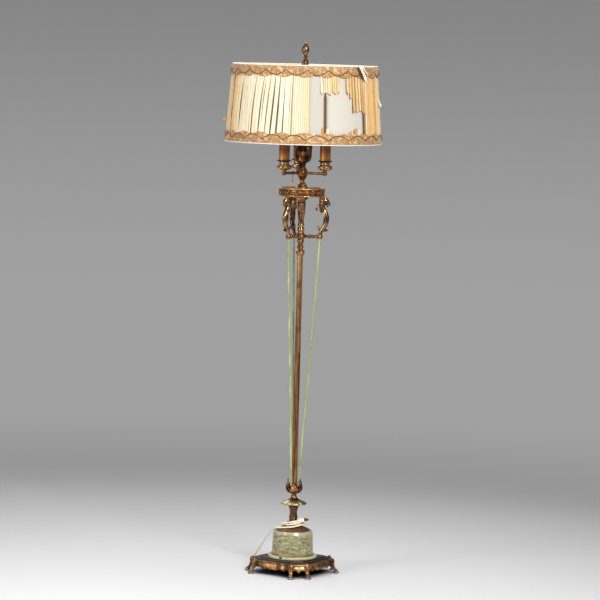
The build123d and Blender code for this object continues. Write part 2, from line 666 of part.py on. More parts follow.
with BuildPart() as figure:
    spine = [figure_point(out, share) for out, share, radius in FIGURE_SPINE]
    for number, (out, share, radius) in enumerate(FIGURE_SPINE):
        ahead = spine[min(number + 1, len(spine) - 1)]
        behind = spine[max(number - 1, 0)]
        with BuildSketch(Plane(origin=spine[number], x_dir=(0, 1, 0), z_dir=ahead - behind)):
            Circle(radius)
    loft()
    rod_between((SPOKE_REACH, 0, figure_foot), (SPOKE_REACH, 0, figure_foot + FIGURE_FOOT_HEIGHT),
                FIGURE_FOOT_RADIUS)
    head = figure_point(*FIGURE_HEAD_AT)
    with Locations(head):
        Sphere(FIGURE_HEAD_RADIUS)
    with BuildSketch(Plane(origin=head, z_dir=(1, 0, 0))):
        Circle(FIGURE_BEAK_RADIUS)
    extrude(amount=FIGURE_BEAK_LENGTH, taper=FIGURE_BEAK_TAPER)
    rod_between((FIGURE_CREST_REACH, 0, head.Z), (FIGURE_CREST_REACH, 0, gallery_bottom), FIGURE_CREST_RADIUS)
    split(bisect_by=Plane.XY.offset(figure_foot), keep=Keep.TOP)
    split(bisect_by=Plane.XY.offset(gallery_bottom), keep=Keep.BOTTOM)

for number, angle in enumerate(tripod_angles, 1):
    pieces[f"spoke_{number}"] = spoke.part.rotate(Axis.Z, angle)
    pieces[f"figure_{number}"] = figure.part.rotate(Axis.Z, angle)

with BuildPart() as tripod_rods:
    for angle in tripod_angles:
        add(rod.part.rotate(Axis.Z, angle))
pieces["tripod_rods"] = tripod_rods.part

# Upper stem, gallery, spindle and hub
with BuildPart() as upper_stem:
    revolve(turned(upper_stem_seat, pipe_bore, UPPER_STEM_TURNING,
                   ((UPPER_STEM_NECK, UPPER_STEM_TURNING[-1][1]), (UPPER_STEM_NECK, UPPER_STEM_HEIGHT))),
            axis=Axis.Z)
pieces["upper_stem"] = upper_stem.part

with BuildPart() as gallery_band:
    recess = GALLERY_RADIUS - GALLERY_RECESS
    rim_end = GALLERY_RIM + GALLERY_RECESS
    band_height = gallery_top - gallery_bottom
    revolve(turned(gallery_bottom, GALLERY_BORE,
                   ((GALLERY_RADIUS, 0), (GALLERY_RADIUS, GALLERY_RIM)),
                   ((recess, rim_end), (recess, band_height - rim_end)),
                   ((GALLERY_RADIUS, band_height - GALLERY_RIM), (GALLERY_RADIUS, band_height))), axis=Axis.Z)
    with BuildSketch(Plane.XY.offset(plate_seat)):
        Circle(PLATE_RADIUS + TENON_FIT)
    extrude(amount=band_height, mode=Mode.SUBTRACT)
pieces["gallery_band"] = gallery_band.part

with BuildPart() as gallery_plate:
    with BuildSketch(Plane.XY.offset(plate_seat)):
        Circle(PLATE_RADIUS)
        Circle(pipe_bore, mode=Mode.SUBTRACT)
    extrude(amount=PLATE_THICK)
pieces["gallery_plate"] = gallery_plate.part

with BuildPart() as spindle:
    revolve(turned(spindle_seat, pipe_bore, SPINDLE_TURNING), axis=Axis.Z)
pieces["spindle"] = spindle.part

with BuildPart() as arm_hub:
    revolve(turned(hub_seat, pipe_bore, HUB_TURNING), axis=Axis.Z)
    for angle in ARM_ANGLES:
        with BuildSketch(facing(angle, ARM_TENON_START, arm_height)):
            Circle(ARM_RADIUS + TENON_FIT)
        extrude(amount=ARM_REACH, mode=Mode.SUBTRACT)
    with BuildSketch(facing(CHAIN_ANGLE, CHAIN_GUIDE_START, arm_height)):
        Circle(CHAIN_GUIDE_RADIUS + TENON_FIT)
    extrude(amount=ARM_REACH, mode=Mode.SUBTRACT)
pieces["arm_hub"] = arm_hub.part

# Candle arms, cups, nipples, sockets, shells and sleeves
with BuildPart() as arm:
    rod_between((ARM_TENON_START, 0, arm_height), (ARM_REACH, 0, arm_height), ARM_RADIUS)
    with Locations((ARM_REACH, 0, arm_height)):
        Sphere(ARM_BALL_RADIUS)
    split(bisect_by=Plane.XY.offset(candle_cup_seat), keep=Keep.BOTTOM)
    rod_between((ARM_TENON_START, 0, arm_height), (ARM_REACH, 0, arm_height), ARM_BORE, mode=Mode.SUBTRACT)
    rod_between((ARM_REACH, 0, candle_cup_seat - NIPPLE_TENON - TENON_FIT), (ARM_REACH, 0, candle_cup_seat),
                NIPPLE_RADIUS + TENON_FIT, mode=Mode.SUBTRACT)

with BuildPart() as candle_cup:
    cup_lip = (CANDLE_CUP_FLANGE[-1], (CANDLE_CUP_FLANGE[-1][0], CANDLE_CUP_HEIGHT))
    revolve(turned(candle_cup_seat, NIPPLE_RADIUS + TENON_FIT, CANDLE_CUP_BOWL, CANDLE_CUP_FLANGE, cup_lip,
                   centre=ARM_REACH), axis=upright(ARM_REACH))
    rod_between((ARM_REACH, 0, candle_socket_seat), (ARM_REACH, 0, sleeve_seat),
                CANDLE_SOCKET_RADIUS + TENON_FIT, mode=Mode.SUBTRACT)

with BuildPart() as candle_nipple:
    with BuildSketch(Plane.XY.offset(candle_cup_seat - NIPPLE_TENON)):
        with Locations((ARM_REACH, 0)):
            Circle(NIPPLE_RADIUS)
            Circle(NIPPLE_RADIUS - NIPPLE_WALL, mode=Mode.SUBTRACT)
    extrude(amount=2 * NIPPLE_TENON + CANDLE_CUP_FLOOR)

candle_shell_radius = CANDLE_SHELL_BORE + SHELL_WALL
contact_well = CONTACT_HEIGHT + CONTACT_GAP
with BuildPart() as candle_socket:
    with BuildSketch(Plane.XY.offset(candle_socket_seat)):
        with Locations((ARM_REACH, 0)):
            Circle(CANDLE_SOCKET_RADIUS)
    extrude(amount=CANDLE_SOCKET_HEIGHT)
    with BuildSketch(Plane.XY.offset(candle_ledge)):
        with Locations((ARM_REACH, 0)):
            Circle(candle_shell_radius + TENON_FIT)
    extrude(amount=CANDLE_SOCKET_HEIGHT, mode=Mode.SUBTRACT)
    with BuildSketch(Plane.XY.offset(candle_ledge - contact_well)):
        with Locations((ARM_REACH, 0)):
            Circle(CONTACT_RADIUS + CONTACT_ROOM)
    extrude(amount=contact_well, mode=Mode.SUBTRACT)
    with BuildSketch(Plane.XY.offset(candle_socket_seat)):
        with Locations((ARM_REACH, 0)):
            Circle(NIPPLE_RADIUS + TENON_FIT)
    extrude(amount=NIPPLE_TENON + TENON_FIT, mode=Mode.SUBTRACT)

with BuildPart() as candle_shell:
    with BuildSketch(Plane.XY.offset(candle_ledge)):
        with Locations((ARM_REACH, 0)):
            Circle(candle_shell_radius)
            Circle(CANDLE_SHELL_BORE, mode=Mode.SUBTRACT)
    extrude(amount=CANDLE_SHELL_LENGTH)
    with BuildSketch(Plane.XY.offset(candle_ledge - contact_well)):
        with Locations((ARM_REACH, 0)):
            Circle(CONTACT_RADIUS)
    extrude(amount=CONTACT_HEIGHT)

with BuildPart() as candle_sleeve:
    with BuildSketch(Plane.XY.offset(sleeve_seat)):
        with Locations((ARM_REACH, 0)):
            Circle(SLEEVE_RADIUS)
            Circle(SLEEVE_BORE, mode=Mode.SUBTRACT)
    extrude(amount=SLEEVE_LENGTH)

for number, angle in enumerate(ARM_ANGLES, 1):
    pieces[f"arm_{number}"] = arm.part.rotate(Axis.Z, angle)
    pieces[f"candle_sleeve_{number}"] = candle_sleeve.part.rotate(Axis.Z, angle)

with BuildPart() as candle_cups:
    for angle in ARM_ANGLES:
        add(candle_cup.part.rotate(Axis.Z, angle))
pieces["candle_cups"] = candle_cups.part

with BuildPart() as candle_nipples:
    for angle in ARM_ANGLES:
        add(candle_nipple.part.rotate(Axis.Z, angle))
pieces["candle_nipples"] = candle_nipples.part

with BuildPart() as candle_sockets:
    for angle in ARM_ANGLES:
        add(candle_socket.part.rotate(Axis.Z, angle))
pieces["candle_sockets"] = candle_sockets.part

# Centre socket: husk, saddle, socket body and turn knob
with BuildPart() as socket_husk:
    revolve(turned(husk_seat, pipe_bore, HUSK_OUTSIDE, HUSK_INSIDE), axis=Axis.Z)
    husk_shoulder = HUSK_OUTSIDE[-3]
    with BuildSketch(Plane.XY.offset(husk_seat + husk_shoulder[1])):
        with PolarLocations(HUSK_OUTSIDE[-1][0] + HUSK_FLUTE_RADIUS / 2, HUSK_FLUTES):
            Circle(HUSK_FLUTE_RADIUS)
    extrude(amount=HUSK_OUTSIDE[-1][1] - husk_shoulder[1], mode=Mode.SUBTRACT)
pieces["socket_husk"] = socket_husk.part

with BuildPart() as harp_saddle:
    strip_top = saddle_seat + SADDLE_RISE
    flare_top = strip_top + SADDLE_FLARE
    knee = saddle_seat + SADDLE_KNEE_HEIGHT
    inside = SADDLE_REACH - SADDLE_STRIP
    flare_end = HARP_FOOT_REACH + SADDLE_HALF_WIDTH
    with BuildSketch(Plane.XZ):
        with BuildLine():
            Polyline((0, saddle_seat), (SADDLE_FLAT, saddle_seat), (SADDLE_REACH, knee),
                     (SADDLE_REACH, strip_top), (flare_end, flare_top),
                     (flare_end, flare_top + SADDLE_STRIP), (inside, strip_top), (inside, knee),
                     (SADDLE_FLAT - SADDLE_STRIP / 2, mogul_seat), (0, mogul_seat), close=True)
        make_face()
        mirror(about=Plane.YZ)
    extrude(amount=SADDLE_HALF_WIDTH, both=True)
    rod_between((0, 0, saddle_seat), (0, 0, mogul_seat), SADDLE_DISC_RADIUS)
    for side in (-1, 1):
        rod_between((side * HARP_FOOT_REACH, 0, strip_top),
                    (side * HARP_FOOT_REACH, 0, harp_seat + HARP_BOSS), HARP_WIRE)
    rod_between((0, 0, saddle_seat), (0, 0, mogul_seat), pipe_bore, mode=Mode.SUBTRACT)
pieces["harp_saddle"] = harp_saddle.part

mogul_shell_radius = MOGUL_SHELL_BORE + SHELL_WALL
knob_height = mogul_seat + KNOB_HEIGHT
with BuildPart() as mogul_socket:
    revolve(turned(mogul_seat, 0, ((MOGUL_FOOT_RADIUS, 0), (MOGUL_RADIUS, MOGUL_TAPER_HEIGHT)),
                   ((MOGUL_RADIUS, MOGUL_TAPER_HEIGHT), (MOGUL_RADIUS, MOGUL_HEIGHT))), axis=Axis.Z)
    rod_between((0, 0, mogul_ledge), (0, 0, mogul_mouth), mogul_shell_radius + TENON_FIT, mode=Mode.SUBTRACT)
    rod_between((0, 0, mogul_ledge - contact_well), (0, 0, mogul_ledge), MOGUL_CONTACT_RADIUS + CONTACT_ROOM,
                mode=Mode.SUBTRACT)
    rod_between((0, 0, mogul_seat), (0, 0, pipe_top + TENON_FIT), pipe_bore, mode=Mode.SUBTRACT)
    with BuildSketch(facing(KNOB_ANGLE, KNOB_SHAFT_START - RUN_GAP, knob_height)):
        Circle(KNOB_SHAFT_RADIUS + RUN_GAP)
    extrude(amount=MOGUL_RADIUS, mode=Mode.SUBTRACT)
pieces["mogul_socket"] = mogul_socket.part

with BuildPart() as socket_shells:
    with BuildSketch(Plane.XY.offset(mogul_ledge)):
        Circle(mogul_shell_radius)
        Circle(MOGUL_SHELL_BORE, mode=Mode.SUBTRACT)
    extrude(amount=MOGUL_SHELL_LENGTH)
    with BuildSketch(Plane.XY.offset(mogul_ledge - contact_well)):
        Circle(MOGUL_CONTACT_RADIUS)
    extrude(amount=CONTACT_HEIGHT)
    for angle in ARM_ANGLES:
        add(candle_shell.part.rotate(Axis.Z, angle))
pieces["socket_shells"] = socket_shells.part

with BuildPart() as turn_knob:
    with BuildSketch(facing(KNOB_ANGLE, KNOB_SHAFT_START, knob_height)):
        Circle(KNOB_SHAFT_RADIUS)
    extrude(amount=KNOB_REACH - KNOB_SHAFT_START)
    with BuildSketch(facing(KNOB_ANGLE, KNOB_REACH, knob_height)):
        Circle(KNOB_RADIUS)
        with PolarLocations(KNOB_RADIUS, KNOB_RIBS):
            Circle(KNOB_RIB_RADIUS)
    extrude(amount=KNOB_LENGTH)
pieces["turn_knob"] = turn_knob.part

# Pull chain and its guide
chain_at = facing(CHAIN_ANGLE, CHAIN_REACH, arm_height).origin
chain_top = arm_height - CHAIN_BEAD_RADIUS / 2
chain_end = chain_top - (CHAIN_BEADS - 1) * CHAIN_PITCH

with BuildPart() as chain_guide:
    with BuildSketch(facing(CHAIN_ANGLE, CHAIN_GUIDE_START, arm_height)):
        Circle(CHAIN_GUIDE_RADIUS)
    extrude(amount=CHAIN_REACH - CHAIN_GUIDE_START)
    with Locations(chain_at):
        Sphere(CHAIN_GUIDE_BALL)
    rod_between((chain_at.X, chain_at.Y, arm_height - 2 * CHAIN_GUIDE_BALL),
                (chain_at.X, chain_at.Y, chain_top + CHAIN_BEAD_RADIUS + RUN_GAP),
                CHAIN_BEAD_RADIUS + RUN_GAP, mode=Mode.SUBTRACT)
pieces["chain_guide"] = chain_guide.part

with BuildPart() as pull_chain:
    rod_between((chain_at.X, chain_at.Y, chain_end - CHAIN_PITCH), (chain_at.X, chain_at.Y, chain_top),
                CHAIN_LINK_RADIUS)
    for bead in range(CHAIN_BEADS):
        with Locations((chain_at.X, chain_at.Y, chain_top - bead * CHAIN_PITCH)):
            Sphere(CHAIN_BEAD_RADIUS)
    with BuildSketch(Plane.XY.offset(chain_end - CHAIN_PITCH)):
        with Locations((chain_at.X, chain_at.Y)):
            Circle(CHAIN_BEAD_RADIUS)
    with BuildSketch(Plane.XY.offset(chain_end - CHAIN_PITCH - CHAIN_BELL_HEIGHT)):
        with Locations((chain_at.X, chain_at.Y)):
            Circle(CHAIN_BELL_RADIUS)
    loft()
pieces["pull_chain"] = pull_chain.part

# Harp, its ferrules and the finial
with BuildPart() as harp:
    with BuildLine() as harp_line:
        half = [(HARP_FOOT_REACH, 0, harp_foot), (HARP_FOOT_REACH, 0, harp_foot + HARP_LEG),
                (HARP_HALF_WIDTH, 0, harp_foot + HARP_SHOULDER), (HARP_HALF_WIDTH, 0, harp_foot + HARP_SIDE),
                (HARP_TOP_HALF, 0, harp_top - HARP_WIRE)]
        other_half = [(-x, y, z) for x, y, z in reversed(half)]
        FilletPolyline(*half, *other_half, radius=HARP_BENDS + HARP_BENDS[::-1])
    with BuildSketch(Plane.XY.offset(harp_foot)):
        with Locations((HARP_FOOT_REACH, 0)):
            Circle(HARP_WIRE)
    sweep(path=harp_line.wire())
    rod_between((0, 0, harp_top - HARP_PAD_THICK), (0, 0, harp_top), HARP_PAD_RADIUS)
    rod_between((0, 0, harp_top), (0, 0, harp_top + STUD_LENGTH), STUD_RADIUS)
pieces["harp"] = harp.part

ferrule_bottom = harp_foot - FERRULE_OVERLAP
for side, name in ((-1, "ferrule_left"), (1, "ferrule_right")):
    with BuildPart() as ferrule:
        with BuildSketch(Plane.XY.offset(ferrule_bottom)):
            with Locations((side * HARP_FOOT_REACH, 0)):
                Circle(FERRULE_RADIUS)
                Circle(HARP_WIRE + RUN_GAP, mode=Mode.SUBTRACT)
        extrude(amount=FERRULE_LENGTH)
    pieces[name] = ferrule.part

with BuildPart() as finial:
    revolve(turned(finial_seat, 0, FINIAL_TURNING), axis=Axis.Z)
    rod_between((0, 0, finial_seat), (0, 0, harp_top + STUD_LENGTH + RUN_GAP), STUD_RADIUS + RUN_GAP,
                mode=Mode.SUBTRACT)
pieces["finial"] = finial.part

# Shade frame
ring_offset = -RING_WIRE - CLOTH_GAP
top_ring_height = shade_top - RING_WIRE
bottom_ring_height = shade_bottom + RING_WIRE
top_ring_radius = shade_radius(top_ring_height, ring_offset)
bottom_ring_radius = shade_radius(bottom_ring_height, ring_offset)

with BuildPart() as shade_rings:
    ring_at(top_ring_radius, top_ring_height, RING_WIRE)
    ring_at(bottom_ring_radius, bottom_ring_height, RING_WIRE)
pieces["shade_rings"] = shade_rings.part

with BuildPart() as shade_ribs:
    for rib in range(RIB_COUNT):
        turn = radians(RIB_TURN + 360 / RIB_COUNT * rib)
        rod_between((bottom_ring_radius * cos(turn), bottom_ring_radius * sin(turn), bottom_ring_height),
                    (top_ring_radius * cos(turn), top_ring_radius * sin(turn), top_ring_height), RIB_WIRE)
pieces["shade_ribs"] = shade_ribs.part

with BuildPart() as shade_spider:
    rod_between((0, 0, harp_top), (0, 0, harp_top + SPIDER_WASHER_THICK), SPIDER_WASHER_RADIUS)
    for spider_arm in range(SPIDER_ARMS):
        turn = radians(45 + 360 / SPIDER_ARMS * spider_arm)
        inner_end = SPIDER_WASHER_RADIUS - 2 * RING_WIRE
        rod_between((inner_end * cos(turn), inner_end * sin(turn), harp_top + SPIDER_WASHER_THICK / 2),
                    (top_ring_radius * cos(turn), top_ring_radius * sin(turn), top_ring_height), RIB_WIRE)
    rod_between((0, 0, harp_top), (0, 0, harp_top + SPIDER_WASHER_THICK), STUD_RADIUS + RUN_GAP,
                mode=Mode.SUBTRACT)
pieces["shade_spider"] = shade_spider.part

# Shade cloth: lining, pleated cover, braids and piping
with BuildPart() as shade_lining:
    shade_band(shade_bottom, shade_top, 0, LINING_THICK)
pieces["shade_lining"] = shade_lining.part

pleat_inner = LINING_THICK + CLOTH_GAP


def pleat_wall(offset, extend, mode=Mode.ADD):
    """Block whose side folds in and out round the shade."""
    levels = []
    for height in (shade_bottom - extend, shade_top + extend):
        folds = []
        for fold in range(2 * PLEAT_COUNT):
            radius = shade_radius(height, offset + PLEAT_DEPTH * (fold % 2))
            turn = radians(180 / PLEAT_COUNT * fold)
            folds.append((radius * cos(turn), radius * sin(turn)))
        with BuildSketch(Plane.XY.offset(height)) as level:
            with BuildLine():
                Polyline(*folds, close=True)
            make_face()
        levels.append(level.sketch)
    loft(levels, ruled=True, mode=mode)


with BuildPart() as shade_cover:
    pleat_wall(pleat_inner + COVER_THICK, 0)
    pleat_wall(pleat_inner, COVER_THICK, mode=Mode.SUBTRACT)
pieces["shade_cover"] = shade_cover.part

braid_inner = pleat_inner + COVER_THICK + PLEAT_DEPTH + CLOTH_GAP
with BuildPart() as shade_braid:
    shade_band(shade_top - BRAID_HEIGHT, shade_top, braid_inner, BRAID_THICK)
    shade_band(shade_bottom, shade_bottom + BRAID_HEIGHT, braid_inner, BRAID_THICK)
pieces["shade_braid"] = shade_braid.part

with BuildPart() as shade_piping:
    for height in (shade_top + CLOTH_GAP + PIPING_RADIUS, shade_bottom - CLOTH_GAP - PIPING_RADIUS):
        ring_at(shade_radius(height, PIPING_OFFSET), height, PIPING_RADIUS)
pieces["shade_piping"] = shade_piping.part

# Cord
cap_slope = CAP_RISE / (CAP_RADIUS - CAP_NECK_RADIUS)
coil_lift = (CORD_RADIUS + COIL_REST) * hypot(1, cap_slope)
coil_turning = COIL_TURNS_IN + COIL_TURNS_CLIMB / 2
coil_end_start = COIL_TURNS_IN + COIL_TURNS_CLIMB + COIL_TURNS_OUT
coil_turns = coil_end_start + COIL_TURNS_END


def coil_point(turns):
    """Middle of the wound cord after so many turns: in, up a layer, out, and up to the plug."""
    from_turning = abs(min(turns, coil_end_start) - coil_turning)
    radius = COIL_RADIUS - COIL_PITCH * (coil_turning - from_turning)
    climb = min(max((turns - COIL_TURNS_IN) / COIL_TURNS_CLIMB, 0), 1)
    level = COIL_LAYER * climb * climb * (3 - 2 * climb)
    height = cap_seat + CAP_RIM + cap_slope * (CAP_RADIUS - radius) + coil_lift + level
    if turns > coil_end_start:
        share = (turns - coil_end_start) / COIL_TURNS_END
        radius += (COIL_END_RADIUS - radius) * share * share
        height += COIL_END_RISE * share * (1 + COIL_END_EASE - COIL_END_EASE * share)
    angle = radians(COIL_START_ANGLE + 360 * turns)
    return Vector(radius * cos(angle), radius * sin(angle), height)


def coil_heading(turns):
    """Direction of the wound cord after so many turns."""
    ahead = coil_point(min(turns + COIL_STEP, coil_turns))
    return (ahead - coil_point(max(turns - COIL_STEP, 0))).normalized()


def biarc(start, heading, end, end_heading):
    """Two arcs that leave one point and reach another in the given directions."""
    run = end - start
    both = heading + end_heading
    spread = 2 * (1 - heading.dot(end_heading))
    reach = (-run.dot(both) + sqrt(run.dot(both) ** 2 + spread * run.dot(run))) / spread
    middle = (start + end + (heading - end_heading) * reach) / 2
    middle_heading = (end - end_heading * reach) - (start + heading * reach)
    TangentArc(start, middle, tangent=heading)
    TangentArc(middle, end, tangent=middle_heading)


def along_edge(out, along, up):
    """Point measured out from the base's back left edge, along that edge, and up."""
    return Vector((along - out) / sqrt(2), (along + out) / sqrt(2), up)


coil_stops = [coil_turns * stop / round(4 * coil_turns) for stop in range(round(4 * coil_turns) + 1)]
coil_first = coil_point(0) - coil_heading(0) * 2 * CORD_RADIUS
coil_last = coil_point(coil_turns) + coil_heading(coil_turns) * 2 * CORD_RADIUS

with BuildPart() as cord_coil:
    with BuildLine() as winding:
        Line(coil_first, coil_point(0))
        for stop, next_stop in zip(coil_stops, coil_stops[1:]):
            biarc(coil_point(stop), coil_heading(stop), coil_point(next_stop), coil_heading(next_stop))
        Line(coil_point(coil_turns), coil_last)
    with BuildSketch(Plane(origin=coil_first, z_dir=coil_heading(0))):
        Circle(CORD_RADIUS)
    sweep(path=winding.wire())
pieces["cord_coil"] = cord_coil.part

samples = [coil_point(coil_turns * step / COIL_SAMPLES) for step in range(COIL_SAMPLES + 1)]
spacing = min((a - b).length for i, a in enumerate(samples) for b in samples[i + STRAND_SPACING:])
gap = spacing - 2 * CORD_RADIUS
coil_length = winding.wire().length
print(f"coil: length {coil_length:.0f}, least gap to itself {gap:.2f}")

with BuildPart() as cord_tail:
    route = [facing(gland_angle, gland_tip + run, GLAND_HEIGHT).origin for run in (0, CORD_FIRST_RUN)]
    route += [along_edge(BASE_FLAT + out, along, up) for out, along, up in CORD_LOOP]
    route += [along_edge(out, -COIL_RADIUS, cap_seat + up) for out, up in CORD_BRINK]
    route += [coil_first - coil_heading(0) * CORD_LAST_RUN, coil_first]
    bends = []
    for before, here, after in zip(route, route[1:], route[2:]):
        half_turn = radians((here - before).get_angle(after - here) / 2)
        bends.append(CORD_BEND_SHARE * min((here - before).length, (after - here).length) / tan(half_turn))
    print("cord bends:", [round(bend) for bend in bends])
    with BuildLine() as tail_line:
        FilletPolyline(*route, radius=bends)
    with BuildSketch(Plane(origin=route[0], z_dir=route[1] - route[0])):
        Circle(CORD_RADIUS)
    sweep(path=tail_line.wire())
pieces["cord_tail"] = cord_tail.part
tail_length = tail_line.wire().length
for name, cord, length in (("coil", cord_coil, coil_length), ("tail", cord_tail, tail_length)):
    fullness = cord.part.volume / (pi * CORD_RADIUS ** 2 * length)
    print(f"{name}: length {length:.0f}, volume over section times length {fullness:.4f}")

with BuildPart() as plug:
    plug_back = Plane(origin=coil_last, z_dir=coil_heading(coil_turns))
    with BuildSketch(plug_back):
        Circle(PLUG_NECK_RADIUS)
    with BuildSketch(plug_back.offset(PLUG_LENGTH / 2)):
        Circle(PLUG_RADIUS)
    loft()
    with BuildSketch(plug_back.offset(PLUG_LENGTH / 2)):
        Circle(PLUG_RADIUS)
    extrude(amount=PLUG_LENGTH / 2)
    with BuildSketch(plug_back.offset(PLUG_LENGTH)):
        with Locations((-BLADE_SPACING / 2, 0), (BLADE_SPACING / 2, 0)):
            Rectangle(BLADE_THICK, BLADE_WIDTH)
    extrude(amount=BLADE_LENGTH)
pieces["plug"] = plug.part

os.makedirs("parts", exist_ok=True)
for name, piece in pieces.items():
    piece.label = name
    export_step(piece, f"parts/{name}.step")
print(len(pieces), "pieces, top of the finial at", round(finial_seat + FINIAL_TURNING[-1][1], 1))
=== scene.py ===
import random
from math import atan2, cos, degrees, exp, hypot, pi, radians, sin, sqrt

import bmesh
import bpy
from mathutils import Matrix, Vector, noise


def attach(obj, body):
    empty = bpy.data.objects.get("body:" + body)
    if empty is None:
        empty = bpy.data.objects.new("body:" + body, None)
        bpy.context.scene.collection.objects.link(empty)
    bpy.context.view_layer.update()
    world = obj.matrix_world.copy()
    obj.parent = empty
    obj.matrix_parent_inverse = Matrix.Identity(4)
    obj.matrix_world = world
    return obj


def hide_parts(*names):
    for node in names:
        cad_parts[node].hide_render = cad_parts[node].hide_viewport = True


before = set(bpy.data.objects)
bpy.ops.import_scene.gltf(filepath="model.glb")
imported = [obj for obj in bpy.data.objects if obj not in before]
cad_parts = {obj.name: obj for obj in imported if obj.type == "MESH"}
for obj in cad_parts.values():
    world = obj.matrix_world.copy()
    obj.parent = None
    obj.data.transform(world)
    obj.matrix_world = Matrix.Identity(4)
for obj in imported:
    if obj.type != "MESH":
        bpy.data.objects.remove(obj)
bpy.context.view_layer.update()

bl_info = {
    "name": "Floor lamp with a torn pleated shade",
    "version": (1, 0, 0),
    "blender": (4, 5, 0),
    "location": "3D View > Sidebar > Lamp",
    "description": "Ornaments, cloth, cord and finishes of a bronze and onyx floor lamp",
    "category": "Add Mesh",
}

MM = 0.001
CAMERA_TURN = -10.0  # the photograph is taken from this azimuth
PIPE_BORE = 5.2  # hole for the tie pipe in all the pieces threaded on it, in mm
BLACK = (0.0, 0.0, 0.0, 1.0)


def tone(red, green, blue):
    """Linear colour of a screen colour given from 0 to 255."""
    parts = [part / 255 for part in (red, green, blue)]
    linear = [part / 12.92 if part <= 0.04 else ((part + 0.055) / 1.055) ** 2.4 for part in parts]
    return (*linear, 1.0)


def ease(low, high, value):
    """Smooth step from 0 at low to 1 at high."""
    share = min(max((value - low) / (high - low), 0.0), 1.0)
    return share * share * (3 - 2 * share)


def plateau(value, low, full, leave, end):
    """Smooth rise from low to full and fall from leave to end."""
    return ease(low, full, value) * (1 - ease(leave, end, value))


def bell(value, width, power=2):
    """1 at zero, fading over a width on both sides."""
    return exp(-(value / width) ** power)


def blend(start, end, share):
    """Value between two numbers."""
    return start + (end - start) * share


def smooth_line(points, steps):
    """Points of a smooth line through the given points, steps to a span."""
    ends = [points[0], *points, points[-1]]
    line = []
    for before, start, end, after in zip(ends, ends[1:], ends[2:], ends[3:]):
        for step in range(steps):
            t = step / steps
            line.append(tuple(
                0.5 * (2 * b + (c - a) * t + (2 * a - 5 * b + 4 * c - d) * t * t
                       + (3 * b - a - 3 * c + d) * t ** 3)
                for a, b, c, d in zip(before, start, end, after)))
    return line + [tuple(points[-1])]


def on_line(line, share):
    """Point at a share of a line's points."""
    spot = min(max(share, 0.0), 1.0) * (len(line) - 1)
    low = min(int(spot), len(line) - 2)
    return [blend(a, b, spot - low) for a, b in zip(line[low], line[low + 1])]


class Signal:
    """Socket of a node tree; arithmetic on it adds Math nodes."""

    def __init__(self, recipe, socket):
        self.recipe, self.socket = recipe, socket

    def function(self, operation, *others):
        """Any Math operation, such as SINE or ABSOLUTE."""
        return self.recipe.add("ShaderNodeMath", dict(enumerate((self, *others))), operation=operation)

    def __add__(self, other):
        return self.function("ADD", other)

    __radd__ = __add__

    def __sub__(self, other):
        return self.function("SUBTRACT", other)

    def __rsub__(self, other):
        return self.recipe.add("ShaderNodeMath", {0: other, 1: self}, operation="SUBTRACT")

    def __mul__(self, other):
        return self.function("MULTIPLY", other)

    __rmul__ = __mul__

    def __pow__(self, other):
        return self.function("POWER", other)

    def step(self, low, high, start=0.0, end=1.0):
        """Smooth step between two levels."""
        return self.recipe.add(
            "ShaderNodeMapRange",
            {"Value": self, "From Min": low, "From Max": high, "To Min": start, "To Max": end},
            interpolation_type="SMOOTHSTEP")

    def out(self, name):
        """Another output of the same node."""
        return Signal(self.recipe, self.socket.node.outputs[name])


class Recipe:
    """Node tree being written, for a finish or for a geometry rule."""

    def __init__(self, tree):
        self.tree = tree

    def add(self, kind, sockets=None, output=0, **choices):
        """New node: its choices first, then the values or links of its sockets."""
        node = self.tree.nodes.new(kind)
        for name, value in choices.items():
            setattr(node, name, value)
        for key, value in (sockets or {}).items():
            if isinstance(value, Signal):
                self.tree.links.new(value.socket, node.inputs[key])
            else:
                node.inputs[key].default_value = value
        return Signal(self, node.outputs[output])

    def mix(self, start, end, factor):
        """Colour between two colours, each a signal, a setting or a screen colour from 0 to 255."""
        start, end = (tone(*colour) if isinstance(colour, tuple) and len(colour) == 3 else colour
                      for colour in (start, end))
        return self.add("ShaderNodeMix", {0: factor, 6: start, 7: end}, 2, data_type="RGBA")

    def layers(self, colour, *coats):
        """Colour with coats laid over it, each a colour and a factor."""
        for coat, factor in coats:
            colour = self.mix(colour, coat, factor)
        return colour


